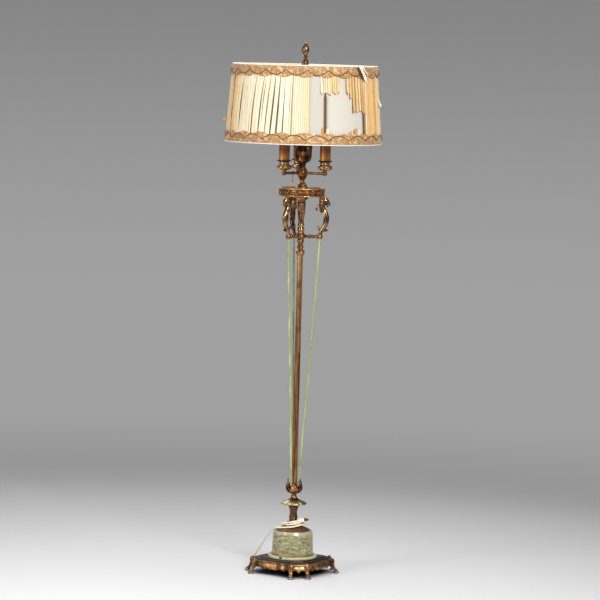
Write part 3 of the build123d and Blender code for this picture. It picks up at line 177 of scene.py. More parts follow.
class Finish(Recipe):
    """Material with a principled shader: constants on its sockets, and what varies fed by nodes."""

    def __init__(self, name, **constants):
        self.material = bpy.data.materials.new(name)
        self.material.use_nodes = True
        super().__init__(self.material.node_tree)
        self.shader = self.tree.nodes["Principled BSDF"]
        for socket, value in constants.items():
            self.shader.inputs[socket.replace("_", " ")].default_value = value
        self.place = self.add("ShaderNodeTexCoord").out("Object")

    def feed(self, **signals):
        """Links signals to the shader's sockets."""
        for socket, signal in signals.items():
            self.tree.links.new(signal.socket, self.shader.inputs[socket.replace("_", " ")])
        return self

    def stretched(self, scale, turn=(0, 0, 0)):
        """Object coordinates scaled along each axis."""
        return self.add("ShaderNodeMapping", {"Vector": self.place, "Scale": scale, "Rotation": turn})

    def cloud(self, scale, detail=4.0, roughness=0.55, place=None, distortion=0.0):
        """Soft noise from 0 to 1."""
        return self.add("ShaderNodeTexNoise", {
            "Vector": place or self.place, "Scale": scale, "Detail": detail, "Roughness": roughness,
            "Distortion": distortion})

    def cells(self, scale, feature="F1", place=None):
        """Distance to scattered points, or to the edges between them."""
        return self.add("ShaderNodeTexVoronoi", {"Vector": place or self.place, "Scale": scale},
                        feature=feature)

    def wave(self, direction, place, **more):
        """Bands across one axis."""
        return self.add("ShaderNodeTexWave",
                        {"Vector": place, **{key.replace("_", " "): value for key, value in more.items()}},
                        wave_type="BANDS", bands_direction=direction)

    def distance(self, spot):
        """Distance from a spot in metres."""
        return self.add("ShaderNodeVectorMath", {0: self.place, 1: spot}, operation="DISTANCE").out("Value")

    def height(self):
        """Height above the floor in metres."""
        return self.add("ShaderNodeSeparateXYZ", {0: self.place}).out("Z")

    def mark(self, name):
        """Number stored on the mesh."""
        return self.add("ShaderNodeAttribute", attribute_name=name).out("Fac")

    def recess(self, reach, local=True):
        """How open the surface lies, from 0 deep in a recess to 1."""
        shaded = self.add("ShaderNodeAmbientOcclusion", {"Distance": reach}, samples=6, only_local=local)
        return shaded.out("AO")

    def bump(self, height, strength, reach=0.001):
        """Relief from a height signal."""
        return self.feed(Normal=self.add("ShaderNodeBump",
                                         {"Height": height, "Strength": strength, "Distance": reach}))


class Net:
    """Collects patches of points in millimetres into one mesh, with marks stored on its points."""

    def __init__(self, *marks):
        self.points, self.faces, self.uvs = [], [], []
        self.marks = {mark: [] for mark in marks}

    def patch(self, rows, columns, place):
        """Grid of faces; place(u, v) gives x, y, z and the marks, with u across and v along."""
        start = len(self.points)
        for row in range(rows + 1):
            for column in range(columns + 1):
                u, v = column / columns, row / rows
                x, y, z, *values = place(u, v)
                self.points.append(Vector((x, y, z)) * MM)
                self.uvs.append((u, v))
                for number, kept in enumerate(self.marks.values()):
                    kept.append(values[number] if values else 0.0)
        for row in range(rows):
            for column in range(columns):
                corner = start + row * (columns + 1) + column
                self.faces.append((corner, corner + 1, corner + columns + 2, corner + columns + 1))

    def tube(self, spine, side=(0, 1, 0), sides=12, steps=6, relief=None, flat=1.0):
        """Closed tube along (x, y, z, radius) points; side is the direction square to its plane."""
        line = smooth_line(spine, steps)
        side = Vector(side).normalized()
        rows = len(line) - 1

        def place(u, v):
            index = round(v * rows)
            here = Vector(line[index][:3])
            run = Vector(line[min(index + 1, rows)][:3]) - Vector(line[max(index - 1, 0)][:3])
            over = side.cross(run.normalized())
            radius = 0.0 if index in (0, rows) else max(line[index][3], 0.0)
            if relief:
                radius += relief(u, v) * min(1.0, radius)
            turn = 2 * pi * u
            return here + over.normalized() * radius * cos(turn) + side * radius * flat * sin(turn)
        self.patch(rows, sides, place)

    def lathe(self, stretches, turns=96, steps=5, relief=None, centre=(0.0, 0.0), seat=0.0):
        """Turned surface through stretches of (radius, height) points; relief(angle, height) is added."""
        line = []
        for stretch in stretches:
            line += smooth_line(stretch, steps) if len(stretch) > 2 else list(stretch)
        rows = len(line) - 1

        def place(u, v):
            radius, height = line[round(v * rows)]
            if relief and radius > 0:
                radius += relief(360 * u, height)
            turn = 2 * pi * u
            return centre[0] + radius * cos(turn), centre[1] + radius * sin(turn), seat + height
        self.patch(rows, turns, place)

    def add_turned(self, other, angle):
        """Adds the patches of another net, turned round the column's axis."""
        start = len(self.points)
        turn = Matrix.Rotation(radians(angle), 3, "Z")
        self.points += [turn @ point for point in other.points]
        self.faces += [tuple(index + start for index in face) for face in other.faces]
        self.uvs += other.uvs
        for mark, values in self.marks.items():
            values += other.marks[mark]

    def make(self, name, finish=None, closed=True):
        """Mesh object of all the patches."""
        mesh = bpy.data.meshes.new(name)
        mesh.from_pydata(self.points, [], self.faces)
        layer = mesh.uv_layers.new(name="UVMap")
        for loop in mesh.loops:
            layer.data[loop.index].uv = self.uvs[loop.vertex_index]
        for mark, values in self.marks.items():
            mesh.attributes.new(mark, "FLOAT", "POINT").data.foreach_set("value", values)
        body = bmesh.new()
        body.from_mesh(mesh)
        bmesh.ops.remove_doubles(body, verts=body.verts, dist=1e-6)
        bmesh.ops.dissolve_degenerate(body, edges=body.edges, dist=1e-7)
        if closed:
            bmesh.ops.recalc_face_normals(body, faces=body.faces)
        body.to_mesh(mesh)
        body.free()
        mesh.shade_smooth()
        if finish:
            mesh.materials.append(finish.material)
        return put(name, mesh)


def put(name, data):
    """New object in the scene."""
    made = bpy.data.objects.new(name, data)
    bpy.context.scene.collection.objects.link(made)
    return made


def drop(made):
    """Takes a scratch object and its mesh away."""
    shape = made.data
    bpy.data.objects.remove(made)
    bpy.data.meshes.remove(shape)


def evaluated(made):
    """Mesh of an object with its modifiers applied."""
    return bpy.data.meshes.new_from_object(made.evaluated_get(bpy.context.evaluated_depsgraph_get()))


def carry(made, body, *stands_for, slot=None):
    """Puts a piece on a body, in place of CAD nodes."""
    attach(made, body)
    if stands_for:
        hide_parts(*stands_for)
    return made


def grow(name, rule_name, finish, **inputs):
    """Mesh object made by a geometry rule."""
    tree = bpy.data.node_groups[rule_name]
    made = put(name, bpy.data.meshes.new(name))
    rule = made.modifiers.new("rule", "NODES")
    rule.node_group = tree
    sockets = {item.name: item.identifier for item in tree.interface.items_tree if item.in_out == "INPUT"}
    for key, value in {**inputs, "Finish": finish.material}.items():
        rule[sockets[key.replace("_", " ")]] = value
    mesh = evaluated(made)
    made.modifiers.remove(rule)
    made.data = mesh
    mesh.name = name
    return made


def open_rule(name, **inputs):
    """Empty geometry rule with its named inputs."""
    tree = bpy.data.node_groups.new(name, "GeometryNodeTree")
    tree.interface.new_socket("Geometry", in_out="OUTPUT", socket_type="NodeSocketGeometry")
    for key, kind in {**inputs, "Finish": "Material"}.items():
        tree.interface.new_socket(key, in_out="INPUT", socket_type="NodeSocket" + kind)
    recipe = Recipe(tree)
    return recipe, recipe.add("NodeGroupInput").out


def close_rule(recipe, given, geometry):
    """Realizes a rule's geometry and gives it its finish."""
    real = recipe.add("GeometryNodeRealizeInstances", {"Geometry": geometry})
    painted = recipe.add("GeometryNodeSetMaterial", {"Geometry": real, "Material": given("Finish")})
    end = recipe.tree.nodes.new("NodeGroupOutput")
    recipe.tree.links.new(painted.socket, end.inputs["Geometry"])


def copies_rule():
    """Copies of one piece set round the column's axis."""
    recipe, given = open_rule("Copies round the column", Piece="Object", Count="Int", Start="Float",
                              Spacing="Float")
    spots = recipe.add("GeometryNodeMeshLine", {"Count": given("Count"), "Offset": (0, 0, 0)})
    shape = recipe.add("GeometryNodeObjectInfo", {"Object": given("Piece")}).out("Geometry")
    number = recipe.add("GeometryNodeInputIndex")
    turn = recipe.add("ShaderNodeCombineXYZ", {"Z": number * given("Spacing") + given("Start")})
    copies = recipe.add("GeometryNodeInstanceOnPoints",
                        {"Points": spots, "Instance": shape, "Rotation": turn})
    close_rule(recipe, given, copies)


def beads_rule():
    """Ring of small beads round the column's axis."""
    recipe, given = open_rule("Ring of beads", Count="Int", Ring="Float", Height="Float", Bead="Float")
    ring = recipe.add("GeometryNodeMeshCircle", {"Vertices": given("Count"), "Radius": given("Ring")})
    lift = recipe.add("ShaderNodeCombineXYZ", {"Z": given("Height")})
    raised = recipe.add("GeometryNodeSetPosition", {"Geometry": ring, "Offset": lift})
    bead = recipe.add("GeometryNodeMeshUVSphere", {"Segments": 8, "Rings": 6, "Radius": given("Bead")})
    rounded = recipe.add("GeometryNodeSetShadeSmooth", {"Geometry": bead})
    copies = recipe.add("GeometryNodeInstanceOnPoints", {"Points": raised, "Instance": rounded})
    close_rule(recipe, given, copies)


def festoon_rule():
    """Cord that swings in loops round a sloping band."""
    recipe, given = open_rule("Looped edging cord", Ring="Float", Height="Float", Loops="Int", Drop="Float",
                              Slope="Float", Cord="Float")
    ring = recipe.add("GeometryNodeCurvePrimitiveCircle", {"Resolution": 960, "Radius": 1.0}, mode="RADIUS")
    along = recipe.add("GeometryNodeSplineParameter").out("Factor")
    swing = (along * pi * given("Loops")).function("SINE").function("ABSOLUTE")
    fall = swing * given("Drop")
    reach = given("Ring") - fall * given("Slope")
    turn = along * (2 * pi)
    spot = recipe.add("ShaderNodeCombineXYZ", {
        "X": reach * turn.function("COSINE"), "Y": reach * turn.function("SINE"),
        "Z": given("Height") + fall})
    moved = recipe.add("GeometryNodeSetPosition", {"Geometry": ring, "Position": spot})
    section = recipe.add("GeometryNodeCurvePrimitiveCircle", {"Resolution": 6, "Radius": given("Cord")},
                         mode="RADIUS")
    cord = recipe.add("GeometryNodeCurveToMesh", {"Curve": moved, "Profile Curve": section})
    close_rule(recipe, given, recipe.add("GeometryNodeSetShadeSmooth", {"Geometry": cord}))


def copies_round(name, source, finish, count, start=0.0):
    """Mesh of copies of a source object evenly round the column, with the source taken away."""
    made = grow(name, "Copies round the column", finish, Piece=source, Count=count, Start=radians(start),
                Spacing=radians(360 / count))
    drop(source)
    return made


def joined(name, *parts):
    """One mesh object out of several."""
    whole = bmesh.new()
    finishes = []
    for part in parts:
        before = len(whole.faces)
        whole.from_mesh(part.data)
        whole.faces.ensure_lookup_table()
        for face in whole.faces[before:]:
            face.material_index += len(finishes)
        finishes += part.data.materials
    mesh = bpy.data.meshes.new(name)
    whole.to_mesh(mesh)
    whole.free()
    for finish in finishes:
        mesh.materials.append(finish)
    for part in parts:
        drop(part)
    return put(name, mesh)


def aged_metal(name, base, light, dark, roughness, patina=None, metal=0.85, reach=0.006, bands=()):
    """Worn bronze: two tones in clouds, painted shade in the recesses, a patina in patches and bands between
    two heights; the dark tone also gives the dirt specks.
    """
    finish = Finish(name, Metallic=metal)
    clouds = finish.cloud(55, 5)
    colour = finish.mix(base, light, clouds.step(0.38, 0.68))
    if patina:
        colour = finish.mix(colour, patina, finish.cloud(28).step(0.46, 0.66) * 0.8)
    for low, high, band in bands:
        level = finish.height()
        inside = level.step(low - MM, low + MM) * level.step(high - MM, high + MM, 1, 0)
        colour = finish.mix(colour, band, inside)
    specks = finish.cloud(420, 3).step(0.62, 0.75)
    # Painted shade: the colour goes to the dark tone deep in recesses; the specks mixed in above are dirt
    open_air = finish.recess(reach)
    colour = finish.mix(dark, finish.mix(colour, dark, specks * 0.35), open_air.step(0.35, 0.92))
    rough = clouds.step(0.3, 0.7, roughness + 0.12, roughness - 0.06) + (1 - open_air) * 0.2
    finish.feed(Base_Color=colour, Roughness=rough)
    return finish.bump(finish.cloud(260) + clouds * 0.6, 0.12)


def length(name, description, default):
    """Setting that is a length in metres."""
    return bpy.props.FloatProperty(name=name, description=description, default=default, unit="LENGTH")


def paint(name, description, *screen):
    """Setting that is a colour, given as a screen colour from 0 to 255."""
    return bpy.props.FloatVectorProperty(name=name, description=description, default=tone(*screen), size=4,
                                         subtype="COLOR")


class StageSettings(bpy.types.PropertyGroup):
    """Camera, light and floor."""
    distance: length("Camera distance", "From the column to the camera", 9.0)
    eye_height: length("Eye height", "Camera height above the floor", 1.62)
    aim_height: length("Aim height", "Height on the column in mid picture", 0.832)
    aim_side: length("Aim to the side", "How far right of the column it looks", 0.003)
    roll: bpy.props.FloatProperty(name="Roll", description="Lean of the lamp in the picture",
                                  default=radians(1.5), subtype="ANGLE")
    lens: bpy.props.FloatProperty(name="Lens", description="Focal length in millimetres", default=179.1,
                                  unit="CAMERA")
    floor_tone: paint("Floor", "Pale floor", 231, 231, 232)
    far_tone: paint("Far floor", "Floor near the backdrop", 160, 160, 160)
    wall_tone: paint("Backdrop", "Grey of the backdrop", 161, 161, 161)
    edge_tone: paint("Edge of the light", "Grey where the lit floor ends", 151, 151, 151)
    high_tone: paint("Backdrop top", "Grey high on the backdrop", 130, 130, 130)


class ShadeSettings(bpy.types.PropertyGroup):
    """Drum shade and its cloth."""
    top: length("Top", "Height of the upper rim", 1.5389)
    depth: length("Depth", "Height of the drum", 0.227)
    top_radius: length("Top radius", "Inside of the lining at the upper rim", 0.2148)
    bottom_radius: length("Bottom radius", "Inside of the lining at the lower rim", 0.2318)
    pleat: length("Pleat", "Width of a whole pleat", 0.0065)
    fold: length("Fold", "Depth of a pleat", 0.0028)
    braid: length("Braid height", "Height of the braid", 0.031)
    scallops: bpy.props.IntProperty(name="Scallops", description="Scallops round each braid", default=22)
    silk_tone: paint("Silk", "Fresh silk", 244, 232, 206)
    aged_tone: paint("Aged silk", "Browned silk", 206, 153, 84)
    lining_tone: paint("Lining", "Plain lining", 213, 206, 194)
    braid_tone: paint("Braid", "Gold thread", 213, 167, 110)


class MetalSettings(bpy.types.PropertyGroup):
    """Tones of the metals and stones."""
    bronze: paint("Bronze", "Worn gilt bronze", 98, 65, 42)
    gilding: paint("Gilding", "Gold left on high places", 176, 128, 78)
    # Painted shade in the recesses, also the tone of the dirt specks
    recess_shade_and_dirt: paint("Recesses", "Dirt in the recesses", 32, 20, 14)
    onyx: paint("Onyx", "Body of the stone drum", 150, 148, 104)
    celadon: paint("Celadon", "Rods", 148, 160, 108)


class CordSettings(bpy.types.PropertyGroup):
    """Mains cord."""
    radius: length("Radius", "Half the cord's thickness", 0.0025)
    cream: paint("Cord", "Cream sheath", 248, 236, 214)
    tail: paint("Cord's tail", "Dusty sheath off the winding", 206, 202, 186)


def settings(group):
    """Settings kept on the scene."""
    return getattr(bpy.context.scene, "lamp_" + group)


# Lights: metres to the right and away from the camera, height, height aimed at, size and watts
LIGHTS = {"key": (1.7, -4.2, 3.3, 0.9, (1.5, 1.1), 232), "fill": (-3.6, -2.8, 2.0, 0.9, (1.4, 2.4), 100),
          "top": (0.0, 0.4, 4.4, 0.6, (3.0, 2.4), 112), "back": (-1.6, 3.8, 3.4, 0.9, (3.2, 2.4), 56)}
SKY_STRENGTH = 0.08
# Cove in mm: where its floor ends, radius of the bend, height of its wall and faces along the bend
COVE_REACH, COVE_BEND, COVE_TOP, COVE_ARCS = 9500.0, 3000.0, 9000.0, 16


class LAMP_OT_stage(bpy.types.Operator):
    """Floor, backdrop, lights and camera."""
    bl_idname = "lamp.stage"
    bl_label = "Stage"

    def execute(self, context):
        stage = settings("stage")
        scene = context.scene
        scene.view_settings.view_transform = "Standard"
        turn = radians(CAMERA_TURN)
        away = Vector((-sin(turn), cos(turn), 0))
        right = Vector((cos(turn), sin(turn), 0))
        floor = self.cove(stage, away * -1.15 - right * 0.35)

        scene.world = bpy.data.worlds.new("studio")
        scene.world.use_nodes = True
        sky = scene.world.node_tree.nodes["Background"].inputs
        sky["Color"].default_value = (1, 1, 1, 1)
        sky["Strength"].default_value = SKY_STRENGTH
        for name, (side, beyond, *more) in LIGHTS.items():
            self.light(name, right * side + away * beyond, *more)

        eye = away * -stage.distance + Vector((0, 0, stage.eye_height))
        aim = right * stage.aim_side + Vector((0, 0, stage.aim_height))
        look = (aim - eye).to_track_quat("-Z", "Y")
        data = bpy.data.cameras.new("photograph")
        data.lens, data.sensor_width, data.clip_end = stage.lens, 36, 60
        scene.camera = put("photograph", data)
        scene.camera.location = eye
        roll = Matrix.Rotation(stage.roll, 3, "Z").to_quaternion()
        scene.camera.rotation_euler = (look @ roll).to_euler()
        return {"FINISHED"}

    def cove(self, stage, lit):
        """Round floor that bends up into a wall, with a painted pool of light round a lit spot, grey beyond
        it, and a painted contact shadow under the lamp.
        """
        quarter = [pi / 2 * arc / COVE_ARCS for arc in range(COVE_ARCS + 1)]
        curve = [(COVE_REACH + COVE_BEND * sin(angle), COVE_BEND - COVE_BEND * cos(angle))
                 for angle in quarter]
        run = [(0.0, 0.0), (1500.0, 0.0), (4000.0, 0.0), *curve, (COVE_REACH + COVE_BEND, COVE_TOP)]
        shape = Net()

        def place(u, v):
            out, up = run[round(v * (len(run) - 1))]
            turn = -2 * pi * u
            return out * cos(turn), out * sin(turn), up
        shape.patch(len(run) - 1, 96, place)

        paper = Finish("backdrop_paper", Roughness=0.9, Specular_IOR_Level=0.0, Emission_Strength=1.0)
        pool = paper.distance(lit)
        # Painted pool of light: the floor pales towards the lit spot and greys away from it
        near = paper.mix(stage.floor_tone, stage.far_tone, pool.step(0.0, 3.4))
        # Painted shadow: the floor darkens where things stand close above it
        near = paper.mix((20, 18, 18), near, paper.recess(0.055, False).step(0.1, 0.62))
        level = paper.height()
        far = paper.layers(stage.edge_tone, (stage.wall_tone, pool.step(3.3, 5.0)),
                           (stage.high_tone, level.step(-0.2, 2.4)), ((60, 60, 60), level.step(3.2, 5.0)))
        ray = paper.add("ShaderNodeLightPath")
        seen = ray.out("Is Camera Ray") + ray.out("Is Glossy Ray") + ray.out("Is Transmission Ray")
        share = seen.function("MINIMUM", 1.0) * pool.step(2.5, 3.6)
        paper.feed(Base_Color=paper.mix(near, BLACK, share), Emission_Color=paper.mix(BLACK, far, share))
        return shape.make("floor", paper, closed=False)

    def light(self, name, spot, height, aim_height, size, power):
        """Area light above a spot on the floor, aimed at a height on the column."""
        data = bpy.data.lights.new(name, "AREA")
        data.shape, data.energy = "RECTANGLE", power
        data.size, data.size_y = size
        made = put(name, data)
        made.location = spot + Vector((0, 0, height))
        heading = Vector((0, 0, aim_height)) - made.location
        made.rotation_euler = heading.to_track_quat("-Z", "Y").to_euler()


# Base, in mm: reach of its long edges and of its short edges from the axis
BASE_FLAT, BASE_CORNER = 104.0, 122.0
# Cord, in mm: its bushing, the CAD route's points beside the base and over the cap's brink, and the cap
GLAND_ALONG, GLAND_HEIGHT, GLAND_REACH = 34.0, 30.5, 23.0
CORD_LOOP = ((43, 46, 25), (54, 44, 14), (60, 33, 5), (60, 17, 3.0), (55, 1, 2.8), (47, -15, 3.0),
             (37, -28, 6), (26, -36, 18), (15, -38, 37), (2.3, -38, 55))
CORD_BRINK = ((67, -18), (55, -2), (38, 8.5))
CAP_SEAT, CAP_RADIUS, CAP_NECK, CAP_RIM, CAP_RISE = 128.5, 51.0, 13.0, 3.0, 16.0
# Winding on the cap: where it starts in degrees, lengths in mm, and its stretches in turns
COIL_START, COIL_RADIUS, COIL_PITCH = 225.0, 38.0, 7.0
COIL_IN, COIL_CLIMB, COIL_OUT, COIL_END = 1.75, 0.5, 1.64, 0.25
COIL_LAYER, COIL_REST, COIL_END_RADIUS, COIL_END_RISE, COIL_END_EASE = 6.1, 0.4, 31.0, 13.5, 0.6
COIL_LOOSE, COIL_LOOSE_AT = 4.2, 300.0  # the winding rides up in front
COIL_TURNS = COIL_IN + COIL_CLIMB + COIL_OUT + COIL_END
COIL_POINTS = 16  # to a turn


def coil_point(turns, radius):
    """Middle of the wound cord after so many turns, in millimetres."""
    slope = CAP_RISE / (CAP_RADIUS - CAP_NECK)
    middle, end = COIL_IN + COIL_CLIMB / 2, COIL_TURNS - COIL_END
    reach = COIL_RADIUS - COIL_PITCH * (middle - abs(min(turns, end) - middle))
    height = CAP_SEAT + CAP_RIM + slope * (CAP_RADIUS - reach) + (radius + COIL_REST) * hypot(1, slope)
    height += COIL_LAYER * ease(COIL_IN, COIL_IN + COIL_CLIMB, turns)
    if turns > end:
        share = (turns - end) / COIL_END
        reach += (COIL_END_RADIUS - reach) * share * share
        height += COIL_END_RISE * share * (1 + COIL_END_EASE - COIL_END_EASE * share)
    angle = radians(COIL_START + 360 * turns)
    front = 1 + cos(angle - radians(COIL_LOOSE_AT))
    height += COIL_LOOSE * front * plateau(turns, -0.05, 0.25, end - 0.3, end)
    return Vector((reach * cos(angle), reach * sin(angle), height))


def beside_edge(out, along, up):
    """Point from its reach towards the base's left rear side, its place along that side and its height."""
    return Vector(((along - out) / sqrt(2), (along + out) / sqrt(2), up))


class LAMP_OT_cord(bpy.types.Operator):
    """Cream cord from the bushing to its winding on the cap, and its plug."""
    bl_idname = "lamp.cord"
    bl_label = "Cord"

    def execute(self, context):
        cord = settings("cord")
        thick = cord.radius / MM
        heading = beside_edge(BASE_FLAT, GLAND_ALONG, 0).normalized()
        exit_point = heading * (hypot(BASE_FLAT, GLAND_ALONG) + GLAND_REACH) + Vector((0, 0, GLAND_HEIGHT))
        route = [exit_point, exit_point + heading * 10]
        route += [beside_edge(BASE_FLAT + out, along, up) for out, along, up in CORD_LOOP]
        route += [beside_edge(out, -COIL_RADIUS, CAP_SEAT + up) for out, up in CORD_BRINK]
        start = (coil_point(0.02, thick) - coil_point(0, thick)).normalized()
        first = coil_point(0, thick) - start * 2 * thick
        route += [first - start * 14, first]
        count = round(COIL_POINTS * COIL_TURNS)
        route += [coil_point(COIL_TURNS * step / count, thick) for step in range(count + 1)]
        end = (coil_point(COIL_TURNS, thick) - coil_point(COIL_TURNS - 0.02, thick)).normalized()
        last = route[-1] + end * 2 * thick
        route.append(last)

        line = bpy.data.curves.new("cord", "CURVE")
        line.dimensions = "3D"
        spline = line.splines.new("NURBS")
        spline.points.add(len(route) - 1)
        for point, spot in zip(spline.points, route):
            point.co = (*(spot * MM), 1)
        spline.use_endpoint_u, spline.order_u, spline.resolution_u = True, 3, 5
        line.bevel_depth, line.bevel_resolution, line.use_fill_caps = cord.radius, 3, True

        sheath = Finish("cord_sheath", Roughness=0.55)
        axes = sheath.add("ShaderNodeSeparateXYZ", {0: sheath.place})
        reach = (axes.out("X") ** 2 + axes.out("Y") ** 2) ** 0.5
        grime = sheath.cloud(70).step(0.45, 0.75) * 0.6
        sheath.feed(Base_Color=sheath.layers(cord.cream, ((214, 190, 152), grime),
                                             (cord.tail, reach.step(0.05, 0.06))))
        sheath.bump(sheath.cloud(600, 2), 0.15, 0.0004)
        line.materials.append(sheath.material)
        made = carry(put("cord", line), "lamp", "cord_tail", "cord_coil", slot="cord")
        plug = self.plug(last, end, cord)
        return {"FINISHED"}

    def plug(self, back, heading, cord):
        """Moulded plug with a ribbed grip and two blades."""
        side = heading.cross(Vector((0, 0, 1))).normalized()
        over = side.cross(heading).normalized()
        shape = Net("metal")
        face, flatness, ribs = 20.0, 0.82, 18
        blade_place, blade_start, blade_length = 6.35, 19.5, 15.3
        line = smooth_line([(3.0, -1.0), (4.2, 0.2), (4.4, 3), (6.6, 7), (8.3, 10.5), (8.5, 14), (8.4, 18.6),
                            (7.6, 19.9)], 5) + [(0.0, face)]
        section = [(-0.75, -3.1), (0.75, -3.1), (0.75, 3.1), (-0.75, 3.1), (-0.75, -3.1)]

        def spot(along, across, up, metal):
            return (*(back + heading * along + side * across + over * up), metal)

        def body(u, v):
            radius, along = line[round(v * (len(line) - 1))]
            turn = 2 * pi * u
            flat = flatness if along > 5 else blend(1, flatness, max(along, 0) / 5)
            radius += 0.25 * cos(turn * ribs) * plateau(along, 6, 9, 17, 19)
            return spot(along, radius * cos(turn), radius * flat * sin(turn), 0.0)
        shape.patch(len(line) - 1, 2 * ribs, body)
        for place in (-blade_place, blade_place):
            def blade(u, v, place=place):
                across, up = (0, 0) if v == 1.0 else on_line(section, u)
                taper = 1 - 0.25 * ease(0.8, 1.0, v)
                return spot(blade_start + blade_length * v, place + across, up * taper, 1.0)
            shape.patch(10, 4, blade)

        skin = Finish("plug_moulding")
        metal = skin.mark("metal").step(0.4, 0.6)
        spots = skin.cells(150).step(0.18, 0.3, 1.0, 0.0) * skin.cloud(90).step(0.5, 0.6)
        colour = skin.layers(cord.cream, ((92, 74, 52), spots * 0.8), ((104, 82, 50), metal))
        skin.feed(Base_Color=colour, Metallic=metal, Roughness=skin.cloud(140).step(0.3, 0.7, 0.35, 0.55))
        return carry(shape.make("plug_body", skin), "lamp", "plug", slot="plug")


def hung(shade, angle, share, offset):
    """Point on the shade from degrees seen by the camera, share down from the top and distance out in mm."""
    turn = radians(angle + CAMERA_TURN)
    radius = blend(shade.top_radius, shade.bottom_radius, share) / MM + offset
    return Vector((radius * cos(turn), radius * sin(turn), (shade.top - shade.depth * share) / MM))


# Stretches of the silk, in degrees seen from the camera, which has 270 in front
LEFT_SIDE, BROWN_STRIP = (188, 198.6), (198.6, 200.8)
SPLIT_SILK, WHOLE_SILK = (200.8, 261), (261, 274)
SHORT_SHREDS, LONG_SHREDS, STUMPS = (282.4, 297.0), (303.2, 322.2), (275, 314)
RIGHT_SIDE, BACK_SILK = (323.4, 362), (362, 548)
# Scraps: angles from and to, shares of the height from and to, curl in mm, age
SCRAPS = ((309.8, 312.8, 1.0, 0.79, 5, 1.0), (306.2, 308.0, 1.0, 0.83, 4, 0.85),
          (283.0, 284.8, 1.0, 0.79, 4, 0.95), (286.4, 288.8, 1.0, 0.80, 5, 0.1),
          (276.4, 278.4, 1.0, 0.86, 5, 0.2), (313.6, 316.4, 1.0, 0.81, 4, 0.0),
          (281.8, 283.6, 0.0, 0.335, 6, 0.0), (346.5, 350.0, 0.33, 0.50, 9, 0.0))
# Angles of the lining's slit and of the painted shadow band beside the fold edge
LINING_SLIT, FOLD_SHADOW_ANGLE = 286.0, 321.4


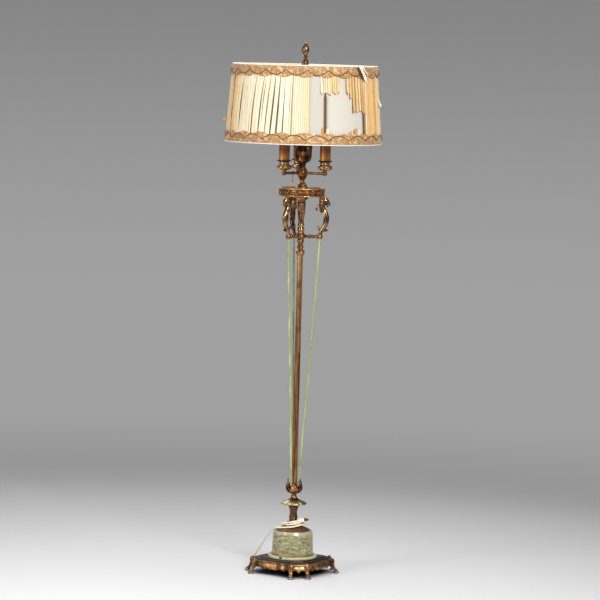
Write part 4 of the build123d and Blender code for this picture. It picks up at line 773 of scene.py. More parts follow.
class LAMP_OT_silk(bpy.types.Operator):
    """Pleated silk of the shade, split on one side and torn away in front."""
    bl_idname = "lamp.silk"
    bl_label = "Pleated silk"

    def execute(self, context):
        shade = settings("shade")
        dice = random.Random(11)
        cloth = Net("tint", "slit", "aged")
        pleat = degrees(shade.pleat / shade.bottom_radius)
        fold = shade.fold / MM

        def strip(start, end, top=0.0, foot=1.0, lean=0.0, aged=0.0, split=0.0, curl=0.0, ragged=0.0,
                  dull=0.0, edge=0.4, sharp=5):
            """One pleat or split ribbon between two angles, from a share of the height to another."""
            tint = dice.random()
            columns = 8 if split else 4
            rows = max(5, round(28 * abs(foot - top)))
            sway = dice.uniform(-0.35, 0.35)
            tears = [dice.uniform(-1, 1) * ragged for column in range(columns + 1)]
            twist = dice.uniform(-1, 1)
            lift = dice.uniform(0.0, 1.6) if split else 0.0
            edges = 9 if split else sharp

            def place(u, v):
                share = blend(top, foot + tears[round(u * columns)], v)
                angle = blend(start, end, u) + lean * share ** 1.15
                if split:
                    open_part = sin(pi * min(max((share - 0.1) / 0.82, 0), 1))
                    angle += sway * open_part + (0.5 - u) * 2 * split * open_part
                    rise = 0.35 + 0.45 * abs(sin(pi * (u * 2.0 + tint))) + lift * open_part
                else:
                    rise = u / 0.8 if u < 0.8 else (1 - u) / 0.2
                # slit darkens the strip's edges: painted shade in the slits and in the creases between
                # pleats
                slit = max(0.0, 1 - min(u, 1 - u) * edges) * edge
                away = rise * fold + curl * v * v * (1 + 0.6 * twist * (u - 0.5))
                spot = hung(shade, angle + 0.07 * curl * twist * v, share, 1.2 + away)
                return (*spot, tint, slit, min(1.0, aged + dull * v))
            cloth.patch(rows, columns, place)

        def run_of(stretch, width, spread):
            """Strips side by side over a stretch of the drum."""
            angle, end = stretch
            while angle < end - 0.05:
                wide = min(width * dice.uniform(1 - spread, 1 + spread), end - angle)
                yield angle, angle + wide
                angle += wide

        for start, end in run_of(LEFT_SIDE, pleat * 1.6, 0.2):
            strip(start, end, aged=0.25 + 0.25 * dice.random())
        strip(*BROWN_STRIP, aged=1.0, edge=1.0, sharp=2)
        for start, end in run_of(SPLIT_SILK, 3.1, 0.42):
            steep = (1 - 0.8 * ease(246, 262, end)) * ease(197, 212, start)
            strip(start, end, lean=-(3.0 + dice.uniform(-1.3, 1.3)) * steep, split=dice.uniform(0.06, 0.42),
                  aged=0.55 * (1 - ease(203, 215, start)) + 0.12 * dice.random(), edge=0.36)
        for start, end in run_of(WHOLE_SILK, pleat, 0.1):
            strip(start, end, aged=0.08 + 0.26 * ease(264, 273, start), edge=0.5)
        for start, end in run_of(SHORT_SHREDS, pleat * 1.15, 0.2):
            foot = 0.335 + dice.uniform(-0.02, 0.025)
            strip(start, end, foot=foot, curl=4.0, ragged=0.012, aged=0.1 + 0.35 * ease(287, 292, start),
                  dull=0.2, edge=0.8)
        for start, end in run_of(LONG_SHREDS, pleat * 1.7, 0.2):
            foot = blend(0.36, 0.58, ease(305, 309, start)) + dice.uniform(-0.035, 0.035)
            strip(start, end, foot=foot, curl=4.0, ragged=0.02, aged=0.3 + 0.4 * dice.random(),
                  dull=0.15, edge=1.0, sharp=3)
        for start, end in run_of(RIGHT_SIDE, pleat * 1.5, 0.15):
            strip(start, end, aged=(0.42 + 0.5 * dice.random()) * (1 - 0.6 * ease(338, 350, start)),
                  edge=0.95)
        for start, end in run_of(BACK_SILK, pleat * 1.1, 0.12):
            loose = dice.random() < 0.12
            strip(start, end, aged=0.12 + 0.3 * dice.random(), lean=-dice.random() if loose else 0.0)
        for start, end in run_of(STUMPS, pleat * 1.2, 0.25):
            if dice.random() < 0.45:
                strip(start, end, 1.0, 0.875 - 0.03 * dice.random(), ragged=0.015, curl=2.0,
                      aged=0.15 + 0.5 * dice.random())
        for start, end, top, foot, curl, aged in SCRAPS:
            strip(start, end, top, foot, curl=curl, ragged=0.015, aged=aged, edge=0.3)

        def frayed(u, v):
            """Browned shred that stands off the side."""
            share = 0.685 + 0.055 * u * (1 - 0.4 * v) + 0.02 * v + 0.008 * sin(9 * u)
            return (*hung(shade, 182.5 + 2.5 * u, share, 2 + 15 * v + 2 * sin(7 * u)), 0.5, 0.0, 1.0)
        cloth.patch(5, 5, frayed)
        made = cloth.make("pleated_silk", self.finish(shade), closed=False)
        carry(made, "shade", "shade_cover", slot="silk")
        return {"FINISHED"}

    def finish(self, shade):
        """Silk in several tints, yellow and then brown with age, and dark at the slits and pleat edges:
        painted shade with some stain.
        """
        silk = Finish("torn_silk", Roughness=0.6, Sheen_Weight=0.15)
        streaks = silk.cloud(1.0, place=silk.stretched((330, 330, 12)))
        aged = silk.mark("aged")
        silk.feed(Base_Color=silk.layers(
            shade.silk_tone,
            ((244, 218, 166), silk.mark("tint") * 0.45),
            ((234, 198, 140), streaks.step(0.46, 0.68) * 0.4),
            ((250, 208, 146), aged.step(0.0, 0.6)),
            (shade.aged_tone, aged.step(0.5, 1.0)),
            ((150, 96, 48), aged * streaks.step(0.5, 0.66) * 0.5),
            # Painted shade in the slits and pleat creases, with some brown stain
            ((80, 54, 32), silk.mark("slit"))))
        weave = silk.wave("Y", silk.add("ShaderNodeUVMap"), Scale=22.0, Distortion=2.0)
        return silk.bump(streaks + weave * 0.15, 0.3, 0.0006)


class LAMP_OT_lining(bpy.types.Operator):
    """White lining, slit along one rib."""
    bl_idname = "lamp.lining"
    bl_label = "Lining"

    def execute(self, context):
        shade = settings("shade")
        cloth = Net("stain")
        seam = 0.01  # share of the girth that draws back from the slit on either side

        def place(u, v):
            angle = LINING_SLIT + 360 * u
            gap = 0.8 * plateau(v, 0.3, 0.36, 0.9, 0.99)
            if u < seam:
                angle += gap * (1 - u / seam)
            if u > 1 - seam:
                angle -= gap * (u - (1 - seam)) / seam
            near = min(u, 1 - u)
            curl = 1.6 * gap * max(0, 1 - near / 0.006)
            seen = angle % 360
            # Stain mark: painted shadow by the fold edge, painted shade and stain through the split silk, a
            # slight painted dimming past it, and stain with painted shade at the slit's frayed edges
            fold_shadow = bell(seen - FOLD_SHADOW_ANGLE, 1.8, 4) * ease(0.5, 0.6, v)
            behind = max(0.8 * plateau(seen, 198, 203, 259, 263), 0.17 * plateau(seen, 263, 268, 284, 286))
            frayed = 0.8 * exp(-near / 0.0035) * ease(0.3, 0.42, v)
            return (*hung(shade, angle, v, 0.4 + curl), max(fold_shadow, behind, frayed))
        cloth.patch(24, 720, place)

        # Dark sheet behind the slit: painted shade in the slit
        def shade_sheet(u, v):
            return (*hung(shade, LINING_SLIT + 2.6 * (u - 0.5), blend(0.3, 0.97, v), -0.4), 1.0)
        cloth.patch(12, 4, shade_sheet)

        linen = Finish("lining_cloth", Roughness=0.8, Sheen_Weight=0.1)
        spots = linen.cloud(16, 5).step(0.5, 0.8)
        # Brown where the stain mark is set: stains and painted shade
        linen.feed(Base_Color=linen.layers(shade.lining_tone, ((226, 206, 176), spots * 0.45),
                                           ((104, 72, 46), linen.mark("stain"))))
        weft = linen.wave("Z", linen.place, Scale=420.0)
        linen.bump(weft * 0.4 + linen.cloud(180, 3), 0.12, 0.0005)
        made = carry(cloth.make("lining", linen, closed=False), "shade", "shade_lining", slot="lining")
        return {"FINISHED"}


class LAMP_OT_trim(bpy.types.Operator):
    """Scalloped braids with their looped cords, the white piping and a torn end of braid."""
    bl_idname = "lamp.trim"
    bl_label = "Trim"

    def execute(self, context):
        shade = settings("shade")
        braid = self.braid(shade)
        loops = list(self.loops(shade))
        piping = self.piping(shade)
        flap = self.torn_end(shade)
        return {"FINISHED"}

    def braid(self, shade):
        """Woven gold band at each rim, scalloped on its inner edge."""
        band = Net("edge")
        wide = shade.braid / shade.depth
        for rim in (0, 1):
            def place(u, v, rim=rim):
                edge = wide * (0.74 + 0.3 * abs(sin(pi * u * shade.scallops)))
                share = v * edge if rim == 0 else 1 - v * edge
                ripple = 0.35 * sin(pi * v * 5) + 0.25 * noise.noise((u * 300, v * 4, rim * 9))
                return (*hung(shade, 360 * u, share, 5.0 + ripple + 0.8 * sin(pi * v)), v)
            band.patch(9, 1260, place)
        thread = Finish("gold_braid", Roughness=0.65, Sheen_Weight=0.2)
        weave = thread.cells(520, place=thread.stretched((1, 1, 1.6)))
        thread.feed(Base_Color=thread.layers(
            shade.braid_tone,
            ((150, 102, 58), weave.step(0.3, 0.65)),
            # Painted highlights: bright glints on the gold thread
            ((242, 210, 158), thread.cloud(95).step(0.48, 0.66) * 0.65),
            ((130, 84, 46), thread.cloud(150, 3).step(0.54, 0.68) * 0.7),
            ((150, 102, 58), thread.mark("edge").step(0.94, 1.0) * 0.6)))
        thread.bump(weave, 0.5, 0.0008)
        return carry(band.make("gold_braid", thread, closed=False), "shade", "shade_braid", slot="braid")

    def loops(self, shade):
        """Dark cord that swings along the scallops of each braid."""
        dark = Finish("braid_cord", Roughness=0.7)
        twist = dark.cloud(380, 2)
        dark.feed(Base_Color=dark.mix((86, 56, 34), (150, 104, 62), twist.step(0.45, 0.7)))
        dark.bump(twist, 0.4, 0.0006)
        slope = (shade.bottom_radius - shade.top_radius) / shade.depth
        rim_gap, fall = shade.braid * 0.34, shade.braid * 0.48
        for name, height, swing in (("upper_loops", shade.top - rim_gap, -fall),
                                    ("lower_loops", shade.top - shade.depth + rim_gap, fall)):
            reach = shade.top_radius + (shade.top - height) * slope + 0.0062
            made = grow(name, "Looped edging cord", dark, Ring=reach, Height=height, Loops=shade.scallops,
                        Drop=swing, Slope=slope, Cord=0.0013)
            yield carry(made, "shade", slot="braid")

    def piping(self, shade):
        """White twisted edging at both rims."""
        edging = Net()
        past = 2.4 * MM / shade.depth
        for rim in (-past, 1 + past):
            def place(u, v, rim=rim):
                turn = 2 * pi * v
                rope = 1.75 + 0.16 * sin(2 * pi * (u * 330 + v * 2))
                share = rim - rope * sin(turn) * MM / shade.depth
                return hung(shade, 360 * u, share, 3.4 + rope * cos(turn))
            edging.patch(8, 1320, place)
        white = Finish("white_piping", Roughness=0.75)
        fuzz = white.cloud(300, 3)
        white.feed(Base_Color=white.mix((240, 230, 214), (220, 198, 166), fuzz.step(0.5, 0.8) * 0.5))
        white.bump(fuzz, 0.3, 0.0006)
        return carry(edging.make("white_piping", white), "shade", "shade_piping", slot="piping")

    def torn_end(self, shade):
        """Three loose strips that hang over the upper braid."""
        torn = Net("pale")
        for start, end, reach, lean, pale in ((313.4, 316.4, 0.13, 5.0, 0.0), (315.6, 319.2, 0.15, 6.5, 1.0),
                                              (319.4, 321.2, 0.11, 7.0, 0.9)):
            def place(u, v, start=start, end=end, reach=reach, lean=lean, pale=pale):
                share = -0.008 + (reach + 0.02) * v * (1 + 0.25 * u)
                angle = blend(start, end, u) + lean * v ** 1.3
                lift = 6.4 + 4.5 * sin(pi * v) + 2.0 * u * v
                return (*hung(shade, angle, share, lift), pale)
            torn.patch(12, 4, place)
        ragged = Finish("torn_braid", Roughness=0.7)
        grain = ragged.cloud(240, 3)
        ragged.feed(Base_Color=ragged.layers(
            (74, 46, 28),
            ((250, 238, 214), ragged.mark("pale").step(0.4, 0.6)),
            ((190, 150, 104), grain.step(0.5, 0.7) * 0.4)))
        ragged.bump(grain, 0.3, 0.0006)
        return carry(torn.make("torn_braid", ragged, closed=False), "shade", slot="braid")


def outline(inset):
    """Reach of the base's corners and half the length of its short edges, drawn in by an inset."""
    corner = BASE_CORNER - inset
    half = (BASE_FLAT - inset) * sqrt(2) - corner
    return corner, half


def bored(bore, *stretches):
    """Profile for a lathe, closed by a bore."""
    foot, head = stretches[0][0], stretches[-1][-1]
    return [[(bore, foot[1]), foot], *stretches, [head, (bore, head[1])], [(bore, head[1]), (bore, foot[1])]]


# Base, in mm: the deck's insets from the outline with their heights, where it goes over into a round hole,
# the heights of its risers, the apron's insets and heights, and the insets and top of the apron's back
DECK = ((0.0, 42.0), (11.0, 42.4), (11.6, 42.8), (13.6, 45.0), (14.2, 45.3), (22.0, 45.6), (22.6, 46.0),
        (24.6, 48.1), (25.4, 48.5), (72.0, 48.5))
DECK_INSET, DECK_HOLE = 40.0, 30.0
RISERS = ((42.6, 45.2), (45.8, 48.3))
APRON = ((0.6, 42.0), (-1.0, 41.4), (-1.4, 40.0), (-0.4, 38.8), (1.6, 37.6), (2.0, 35.0), (0.8, 31.0),
         (-0.6, 27.5), (-0.2, 24.0), (1.4, 20.0))
APRON_PLAIN, APRON_FOOT = 37.6, 20.0  # what lies between is stretched to the scalloped edge
APRON_WALL, APRON_BACK = (1.4, 5.0), 34.0
SHORT_EDGE = 0.2  # share of a quarter that half a short edge takes up
# Foot: reach past the outline's corner, height and radius
FOOT = ((-4.6, 41.8, 2.0), (-4, 41.4, 5.6), (-2, 36, 6.6), (-0.8, 28, 5.4), (1, 21, 4.6), (4, 14.6, 4.2),
        (8, 10, 4.2), (11, 7.8, 4.6), (13.4, 6.6, 2.6), (14.4, 6.0, 0.2))
FOOT_PAD = ([(0.0, 0.0), (7.6, 0.0)], [(7.6, 0.0), (9.0, 1.4), (9.2, 3.6), (8.0, 5.6), (5.0, 6.6)],
            [(5.0, 6.6), (0.0, 6.6)])
FOOT_PAD_REACH = 10


class LAMP_OT_base(bpy.types.Operator):
    """Stepped base with a scalloped apron and eight curved feet in pairs."""
    bl_idname = "lamp.base"
    bl_label = "Base"

    def execute(self, context):
        quarter = Net("top", "gilt")

        def deck(u, v):
            inset, height = DECK[round(v * (len(DECK) - 1))]
            x, y = self.rim(u, min(inset, DECK_INSET))
            if inset > DECK_INSET:
                scale = DECK_HOLE / hypot(x, y)
                x, y = x * scale, y * scale
            riser = any(low < height < high for low, high in RISERS)
            # A negative gilt mark darkens the risers with painted shade
            return x, y, height, 1.0, -0.8 if riser else 0.0
        quarter.patch(len(DECK) - 1, 40, deck)
        swell = smooth_line(APRON, 3)

        def apron(u, v):
            inset, height = swell[round(v * (len(swell) - 1))]
            if height < APRON_PLAIN:
                share = (APRON_PLAIN - height) / (APRON_PLAIN - APRON_FOOT)
                height = blend(APRON_PLAIN, self.low_edge(u), share)
            # The gilt mark on the short edges brightens them with a painted highlight
            return *self.rim(u, inset), height, 0.0, 1.0 if self.edge(u)[1] else 0.0
        quarter.patch(len(swell) - 1, 120, apron)

        def back(u, v):
            up = max(0.0, (v - 1 / 3) * 1.5)
            spot = self.rim(u, blend(*APRON_WALL, min(v * 3, 1)))
            return *spot, blend(self.low_edge(u), APRON_BACK, up), 0.0, 0.0
        quarter.patch(9, 120, back)

        corner, half = outline(0)
        root = hypot(corner, half)
        lean = degrees(atan2(half, corner))
        foot = Net("top", "gilt")
        foot.tube([(root + out, 0, up, radius) for out, up, radius in FOOT], sides=14, steps=5, flat=1.4)
        foot.lathe(FOOT_PAD, turns=24, steps=3, centre=(root + FOOT_PAD_REACH, 0))
        for turn in (-lean, lean):
            quarter.add_turned(foot, turn)
        made = copies_round("base_bronze", quarter.make("base_quarter"), self.finish(), 4)
        made.data.set_sharp_from_angle(angle=radians(16))
        carry(made, "lamp", "base_casting", slot="gilt_bronze")
        return {"FINISHED"}

    def edge(self, u):
        """Share along the edge at a place on a quarter of the outline, and whether the edge is short."""
        if u < SHORT_EDGE:
            return 0.5 + 0.5 * u / SHORT_EDGE, True
        if u > 1 - SHORT_EDGE:
            return 0.5 * (u - (1 - SHORT_EDGE)) / SHORT_EDGE, True
        return (u - SHORT_EDGE) / (1 - 2 * SHORT_EDGE), False

    def rim(self, u, inset):
        """Place on a quarter of the outline, from the middle of one short edge to the next."""
        corner, half = outline(inset)
        if u < SHORT_EDGE:
            return corner, half * u / SHORT_EDGE
        if u > 1 - SHORT_EDGE:
            return half * (1 - u) / SHORT_EDGE, corner
        share = self.edge(u)[0]
        return blend(corner, half, share), blend(half, corner, share)

    def low_edge(self, u):
        """Height of the apron's scalloped lower edge."""
        share, short = self.edge(u)
        if short:
            point = 1.0 if share == 0.5 else 0.0
            return 15.0 + 9.5 * abs(sin(2 * pi * share)) ** 0.8 - point
        side = abs(share - 0.5) * 2
        waves = 6.0 * abs(sin(pi * 2.5 * (1 - side))) ** 0.7
        return 16.5 + waves + 5.0 * plateau(side, 0.55, 0.8, 0.86, 1.0) - 3.0 * bell(side, 0.13)

    def finish(self):
        """Gilt sides with a painted highlight on the short edges, a dull deck with risers darkened by
        painted shade, and painted shade in the recesses.
        """
        brass = Finish("base_bronze", Metallic=0.8)
        clouds = brass.cloud(48, 5)
        gilt = brass.mark("gilt")
        # gilt: painted highlight on the short edges here, painted shade on the risers further down
        sides = brass.layers((108, 74, 46), ((206, 158, 92), clouds.step(0.42, 0.68)),
                             ((232, 190, 126), gilt * 0.55))
        sides = brass.mix((150, 146, 142), sides, brass.height().step(0.0056, 0.0066))
        deck = brass.mix((92, 66, 62), (122, 92, 80), brass.cloud(34, 5).step(0.42, 0.7))
        colour = brass.layers(sides, (deck, brass.mark("top").step(0.4, 0.6)), ((44, 31, 29), gilt * -1),
                              ((58, 38, 28), brass.cloud(70).step(0.5, 0.68) * 0.55))
        # Painted shade in the recesses
        open_air = brass.recess(0.012)
        colour = brass.mix((46, 30, 22), colour, open_air.step(0.3, 0.9))
        brass.feed(Base_Color=colour, Roughness=clouds.step(0.3, 0.7, 0.5, 0.32) + (1 - open_air) * 0.2)
        return brass.bump(brass.cloud(220), 0.18)


# Heights in mm at which the cup and the dish sit
LEAF_SEAT, DISH_SEAT = 227.0, 201.0


class LAMP_OT_leaf_cup(bpy.types.Operator):
    """Cup of leaves with horned tips round the foot of the column, and the petal dish under it."""
    bl_idname = "lamp.leaf_cup"
    bl_label = "Leaf cup and dish"

    def execute(self, context):
        # The horned side leaves take a darker bronze than the gold front leaves: painted shade
        gold = aged_metal("leaf_gilding", (130, 82, 50), (214, 152, 96), (20, 12, 9), 0.26, reach=0.014)
        dark = aged_metal("shaded_leaf_bronze", (62, 40, 27), (104, 68, 42), (20, 12, 9), 0.34, reach=0.009)
        horns = self.leaves(
            "horn_leaves", dark, CAMERA_TURN - 30,
            [(10.0, 15), (17.5, 18), (24.0, 24), (27.0, 32), (26.8, 41), (24.8, 50), (23.0, 57), (22.6, 61)],
            (9.0, 13.0, 13.6, 11.0, 7.6, 5.0, 3.0, 0.5))
        low = self.leaves(
            "low_leaves", gold, CAMERA_TURN - 90,
            [(10.0, 15), (18.0, 18), (24.0, 23.5), (25.6, 30), (24.6, 36), (22.6, 41), (21.6, 45),
             (22.4, 48)],
            (9.0, 13.0, 13.6, 12.6, 10.4, 7.4, 4.0, 0.5))
        core = Net()
        core.lathe(bored(PIPE_BORE,
                         [(11.7, 0), (9.4, 3), (7.9, 8), (7.8, 13), (9.5, 16), (11.2, 17.6), (10.4, 19.5)],
                         [(10.4, 19.5), (17.2, 24), (18.6, 31), (18.0, 37)],
                         [(18.0, 37), (16.0, 37), (PIPE_BORE, 37)]), turns=72, seat=LEAF_SEAT)
        cup = core.make("cup_core", gold)
        carry(joined("leaf_cup_bronze", horns, low, cup), "lamp", "leaf_cup", slot="gilt_bronze")

        def petals(angle, height):
            rim = max(0.0, 1 - abs(height - 9.4) / 8)
            return rim * (3.4 * abs(cos(radians(angle * 4))) ** 0.7 - 3.0)
        dish = Net()
        dish.lathe(bored(PIPE_BORE, [(13.0, 0), (20.0, 4.6), (32.0, 7.6), (39.4, 8.4)],
                         [(39.4, 8.4), (40.2, 9.2), (39.0, 10.8), (34.0, 14.2), (26.5, 17.8), (19.0, 21),
                          (14.2, 23.8), (11.7, 26)]), turns=160, relief=petals, seat=DISH_SEAT)
        verdigris = aged_metal("dish_bronze", (142, 126, 90), (206, 188, 132), (36, 26, 18), 0.32,
                               patina=(134, 140, 98), reach=0.008, bands=((0.2215, 0.24, (98, 62, 42)),))
        carry(dish.make("petal_dish_bronze", verdigris), "lamp", "petal_dish", slot="gilt_bronze")
        return {"FINISHED"}

    def leaves(self, name, finish, start, rise, span):
        """Three leaves with a rib and curled edges, from (reach, height) points and half widths."""
        leaf = Net()
        rise, span = smooth_line(rise, 5), smooth_line([(half,) for half in span], 5)

        def place(u, v):
            out, up = on_line(rise, v)
            side = 2 * u - 1
            across = side * on_line(span, v)[0] * (1 + 0.14 * abs(sin(pi * v * 4.5)) * (1 - v))
            rib = 1.6 * bell(side, 0.18) * (1 - v * 0.4)
            vein = 0.8 * sin(pi * (v * 11 + abs(side) * 3)) * (1 - v)
            edge = -2.6 * abs(side) ** 2.2
            reach = out + rib + vein + edge * (0.5 + 0.5 * v)
            turn = across / max(out, 8)
            return reach * cos(turn), reach * sin(turn), LEAF_SEAT + up
        leaf.patch(35, 14, place)
        source = leaf.make("leaf", closed=False)
        wall = source.modifiers.new("wall", "SOLIDIFY")
        wall.thickness, wall.offset = 0.0018, -1.0
        solid = evaluated(source)
        source.modifiers.remove(wall)
        source.data = solid
        return copies_round(name, source, finish, 3, start)


FIGURE_TURN = 101  # direction of the first figure in degrees


class LAMP_OT_figures(bpy.types.Operator):
    """Three scrolled beasts that hold up the gallery."""
    bl_idname = "lamp.figures"
    bl_label = "Figures"

    def execute(self, context):
        beast = Net()

        def scales(u, v):
            return 0.22 * sin(2 * pi * (v * 26)) * cos(2 * pi * u * 4) * plateau(v, 0.08, 0.2, 0.5, 0.6)

        def limb(points, sides=10, steps=5, flat=1.0, relief=None):
            """Tube in the beast's middle plane, through points of reach, height and radius."""
            spine = [(out, 0, up, radius) for out, up, radius in points]
            beast.tube(spine, sides=sides, steps=steps, flat=flat, relief=relief)
        # Body, head, jaw and the prop behind the neck
        limb([(59, 1033, 4.6), (59.6, 1037, 5.6), (62.4, 1043, 6.0), (67.4, 1051, 6.8), (73.4, 1061, 7.4),
              (77.0, 1073, 7.8), (77.4, 1085, 7.8), (74, 1097, 7.4), (68.4, 1107, 7.2), (64.4, 1115, 7.6),
              (64, 1123, 8.6), (66, 1131, 8.8), (66.4, 1136, 7.2), (66, 1141, 0.5)], 16, 6, relief=scales)
        limb([(60, 1130, 3), (64, 1134, 9.6), (70, 1135, 11.4), (76, 1132.4, 9.6), (81.4, 1128, 6.2),
              (85.4, 1124, 3.4), (86.6, 1119, 0.5)], 16, flat=0.82)
        limb([(75, 1126, 2.4), (78, 1120.6, 3.6), (80.4, 1116.6, 1.8), (80.8, 1115, 0.2)], steps=4)
        limb([(61.6, 1096, 1.0), (59.0, 1106, 3.4), (58.0, 1120, 4.4), (58.4, 1134, 5.0), (60, 1146, 5.6),
              (60, 1147, 0.5)], 12, flat=1.2)
        # Eye, ear and wing on either side
        for side in (-1, 1):
            beast.tube([(71, side * 5.6, 1136.4, 0.4), (72.4, side * 6.4, 1136.6, 1.9),
                        (74, side * 6.2, 1136.2, 1.9), (75.6, side * 5.4, 1135.6, 0.4)], sides=8, steps=4)
            beast.tube([(63, side * 3, 1134, 2.2), (60, side * 6, 1139, 2.6),
                        (58.6, side * 7.4, 1143.5, 1.6), (58.4, side * 7.6, 1146, 0.2)], sides=8, steps=4)
            beast.tube([(66, side * 5.4, 1110, 0.6), (70.0, side * 6.6, 1100, 2.2),
                        (72.4, side * 7.4, 1088, 2.8), (71, side * 6.8, 1076, 2.0),
                        (68.0, side * 5.6, 1067, 0.3)], sides=10, steps=5, flat=0.5)
        # Scroll towards the column, and a curl outside and inside the foot
        limb([(64, 1122, 4.6), (57, 1121, 4.2), (51, 1118, 3.6), (46.6, 1113, 3.0), (45.6, 1108, 2.6),
              (48, 1105.6, 2.2), (50, 1107.6, 1.2), (49.6, 1109.4, 0.2)])
        limb([(66, 1049, 3.0), (73, 1045.6, 4.2), (79.4, 1046.4, 3.4), (83.0, 1050.4, 2.0),
              (84.0, 1054, 0.3)])
        limb([(63, 1044, 4.2), (56.4, 1048, 4.0), (52.4, 1054, 2.6), (52.6, 1060, 0.3)])
        # Turned foot, and the boss under the gallery
        beast.lathe([[(0, 1033), (4.6, 1033)],
                     [(4.6, 1033), (5.8, 1034.5), (4.8, 1036.4), (6.2, 1038.4), (4.4, 1040)],
                     [(4.4, 1040), (0, 1040)]], turns=20, steps=3, centre=(59, 0))
        beast.lathe([[(0, 1134), (5.4, 1134)], [(5.4, 1134), (5.4, 1140), (6.8, 1143), (7.6, 1147)],
                     [(7.6, 1147), (0, 1147)]], turns=20, steps=3, centre=(63, 0))
        bronze = aged_metal("figure_bronze", (84, 56, 40), (186, 142, 98), (16, 10, 8), 0.2, reach=0.014)
        made = copies_round("scrolled_beasts", beast.make("beast"), bronze, 3, FIGURE_TURN)
        carry(made, "lamp", "figure_1", "figure_2", "figure_3", slot="gilt_bronze")
        return {"FINISHED"}


# Gallery, in mm: its seat, the ornament's edges above that, and the rows of faces between them
GALLERY_SEAT, BAND_LOW, BAND_HIGH, BAND_ROWS = 1147.0, 5.2, 19.8, 24


class LAMP_OT_gallery(bpy.types.Operator):
    """Round gallery with an ornament band between beaded rims."""
    bl_idname = "lamp.gallery"
    bl_label = "Gallery"

    def execute(self, context):
        def ornament(angle, height):
            """Running stem with round flowers."""
            if not BAND_LOW < height < BAND_HIGH:
                return 0.0
            level = (height - 12.5) / 7.0
            wave = sin(radians(angle * 12))
            stem = bell(level - 0.55 * wave, 0.28)
            phase = (angle * 24 / 360) % 1 - 0.5
            curl = hypot(phase * 2.3, level + 0.45 * wave) - 0.45
            flower = bell(curl, 0.16) + bell(curl + 0.45, 0.2)
            return 1.9 * min(1.0, stem + flower) * plateau(height, BAND_LOW, 6.4, 18.6, BAND_HIGH)
        wall = [(67.2, BAND_LOW + 14.6 * row / BAND_ROWS) for row in range(BAND_ROWS + 1)]
        band = Net()
        band.lathe([[(61.0, 0), (68.6, 0)], [(68.6, 0), (69.6, 0.8), (69.9, 2.0), (69.2, 3.4), (68.0, 4.0)],
                    [(68.0, 4.0), (67.2, 4.8)], wall, [(67.2, 20.2), (68.2, 21.0)],
                    [(68.2, 21.0), (69.4, 21.6), (70.0, 23.0), (69.4, 24.4), (68.4, 25.0)],
                    [(68.4, 25.0), (64.6, 25.0)], [(64.6, 25.0), (64.5, 19.0)], [(64.5, 19.0), (61.0, 19.0)],
                    [(61.0, 19.0), (61.0, 0)]], turns=720, steps=1, relief=ornament, seat=GALLERY_SEAT)
        bronze = aged_metal("gallery_bronze", (108, 64, 43), (176, 122, 74), (24, 14, 10), 0.28, reach=0.005,
                            bands=((1.1465, 1.151, (186, 140, 84)), (1.168, 1.173, (190, 144, 88))))
        parts = [band.make("gallery_hoop", bronze)]
        for name, height in (("upper_beads", 20.6), ("lower_beads", 4.6)):
            parts.append(grow(name, "Ring of beads", bronze, Count=150, Ring=0.0686,
                              Height=(GALLERY_SEAT + height) * MM, Bead=0.00125))
        made = joined("gallery_bronze", *parts)
        made.data.shade_smooth()
        carry(made, "lamp", "gallery_band", slot="gilt_bronze")
        return {"FINISHED"}


# Husk and drip cups, in mm: seats, the husk's height, rows of faces, and the first cup's place and bore
HUSK_SEAT, HUSK_TOP, HUSK_ROWS = 1233.0, 85, 24
CUP_SEAT, CUP_REACH, CUP_TURN, CUP_BORE = 1223.0, 72.0, 90, 5.1


class LAMP_OT_husk(bpy.types.Operator):
    """Dark leaf husk of the centre socket, and the drip cups of the candles."""
    bl_idname = "lamp.husk"
    bl_label = "Husk and drip cups"

    def execute(self, context):
        def leaves(angle, height):
            """Flutes that end in a crown of scallops."""
            if height < 12:
                return 0.0
            groove = (abs(sin(radians(angle * 5))) ** 0.6 - 0.75) * 3.4 * ease(15, 28, height)
            tongue = (angle * 10 / 360) % 1 - 0.5
            crown = plateau(height, 58, 62, 80, HUSK_TOP)
            scallop = bell(hypot(tongue * 26, (height - 66) * 0.8) - 7.5, 2.0)
            return groove * (1 - crown) + crown * (2.6 * scallop - 0.4)
        wall = [(26.5 + 0.7 * row / HUSK_ROWS, 36 + 49 * row / HUSK_ROWS) for row in range(HUSK_ROWS + 1)]
        husk = Net()
        husk.lathe(bored(PIPE_BORE,
                         [(8.4, 0), (8.0, 5), (11.5, 8), (9.5, 11), (14, 14), (21.5, 19), (25, 26),
                          (26.5, 36)],
                         wall, [(27.2, HUSK_TOP), (25.6, HUSK_TOP)],
                         [(25.6, HUSK_TOP), (25.2, 60), (24.4, 38), (22.5, 27), (19, 20.5), (12, 17)]),
                   turns=192, steps=4, relief=leaves, seat=HUSK_SEAT)
        black = aged_metal("husk_bronze", (48, 30, 20), (178, 118, 72), (2, 1, 1), 0.24, reach=0.014)
        carry(husk.make("socket_husk_bronze", black), "lamp", "socket_husk", slot="dark_bronze")

        cup = Net()
        cup.lathe(bored(CUP_BORE,
                        [(7.2, 0), (8.0, 2.2), (14.0, 3.8), (19.6, 6.6), (22.3, 10.6), (22.2, 13.8),
                         (20.0, 17.0), (15.4, 19.6), (14.6, 21.4), (15.2, 23.6), (14.8, 26), (16.8, 28.6),
                         (21.6, 30.6), (22.4, 31.8), (21.8, 33)],
                        [(21.8, 33), (14.6, 33)], [(14.6, 33), (14.6, 26)]),
                  turns=96, steps=4, centre=(CUP_REACH, 0.0), seat=CUP_SEAT)
        gilt = aged_metal("cup_bronze", (136, 92, 54), (240, 190, 124), (14, 9, 7), 0.16, reach=0.012,
                          bands=((1.2415, 1.2495, (188, 172, 136)), (1.2505, 1.26, (62, 40, 28))))
        made = copies_round("drip_cups", cup.make("drip_cup"), gilt, 3, CUP_TURN)
        carry(made, "lamp", "candle_cups", slot="gilt_bronze")
        return {"FINISHED"}


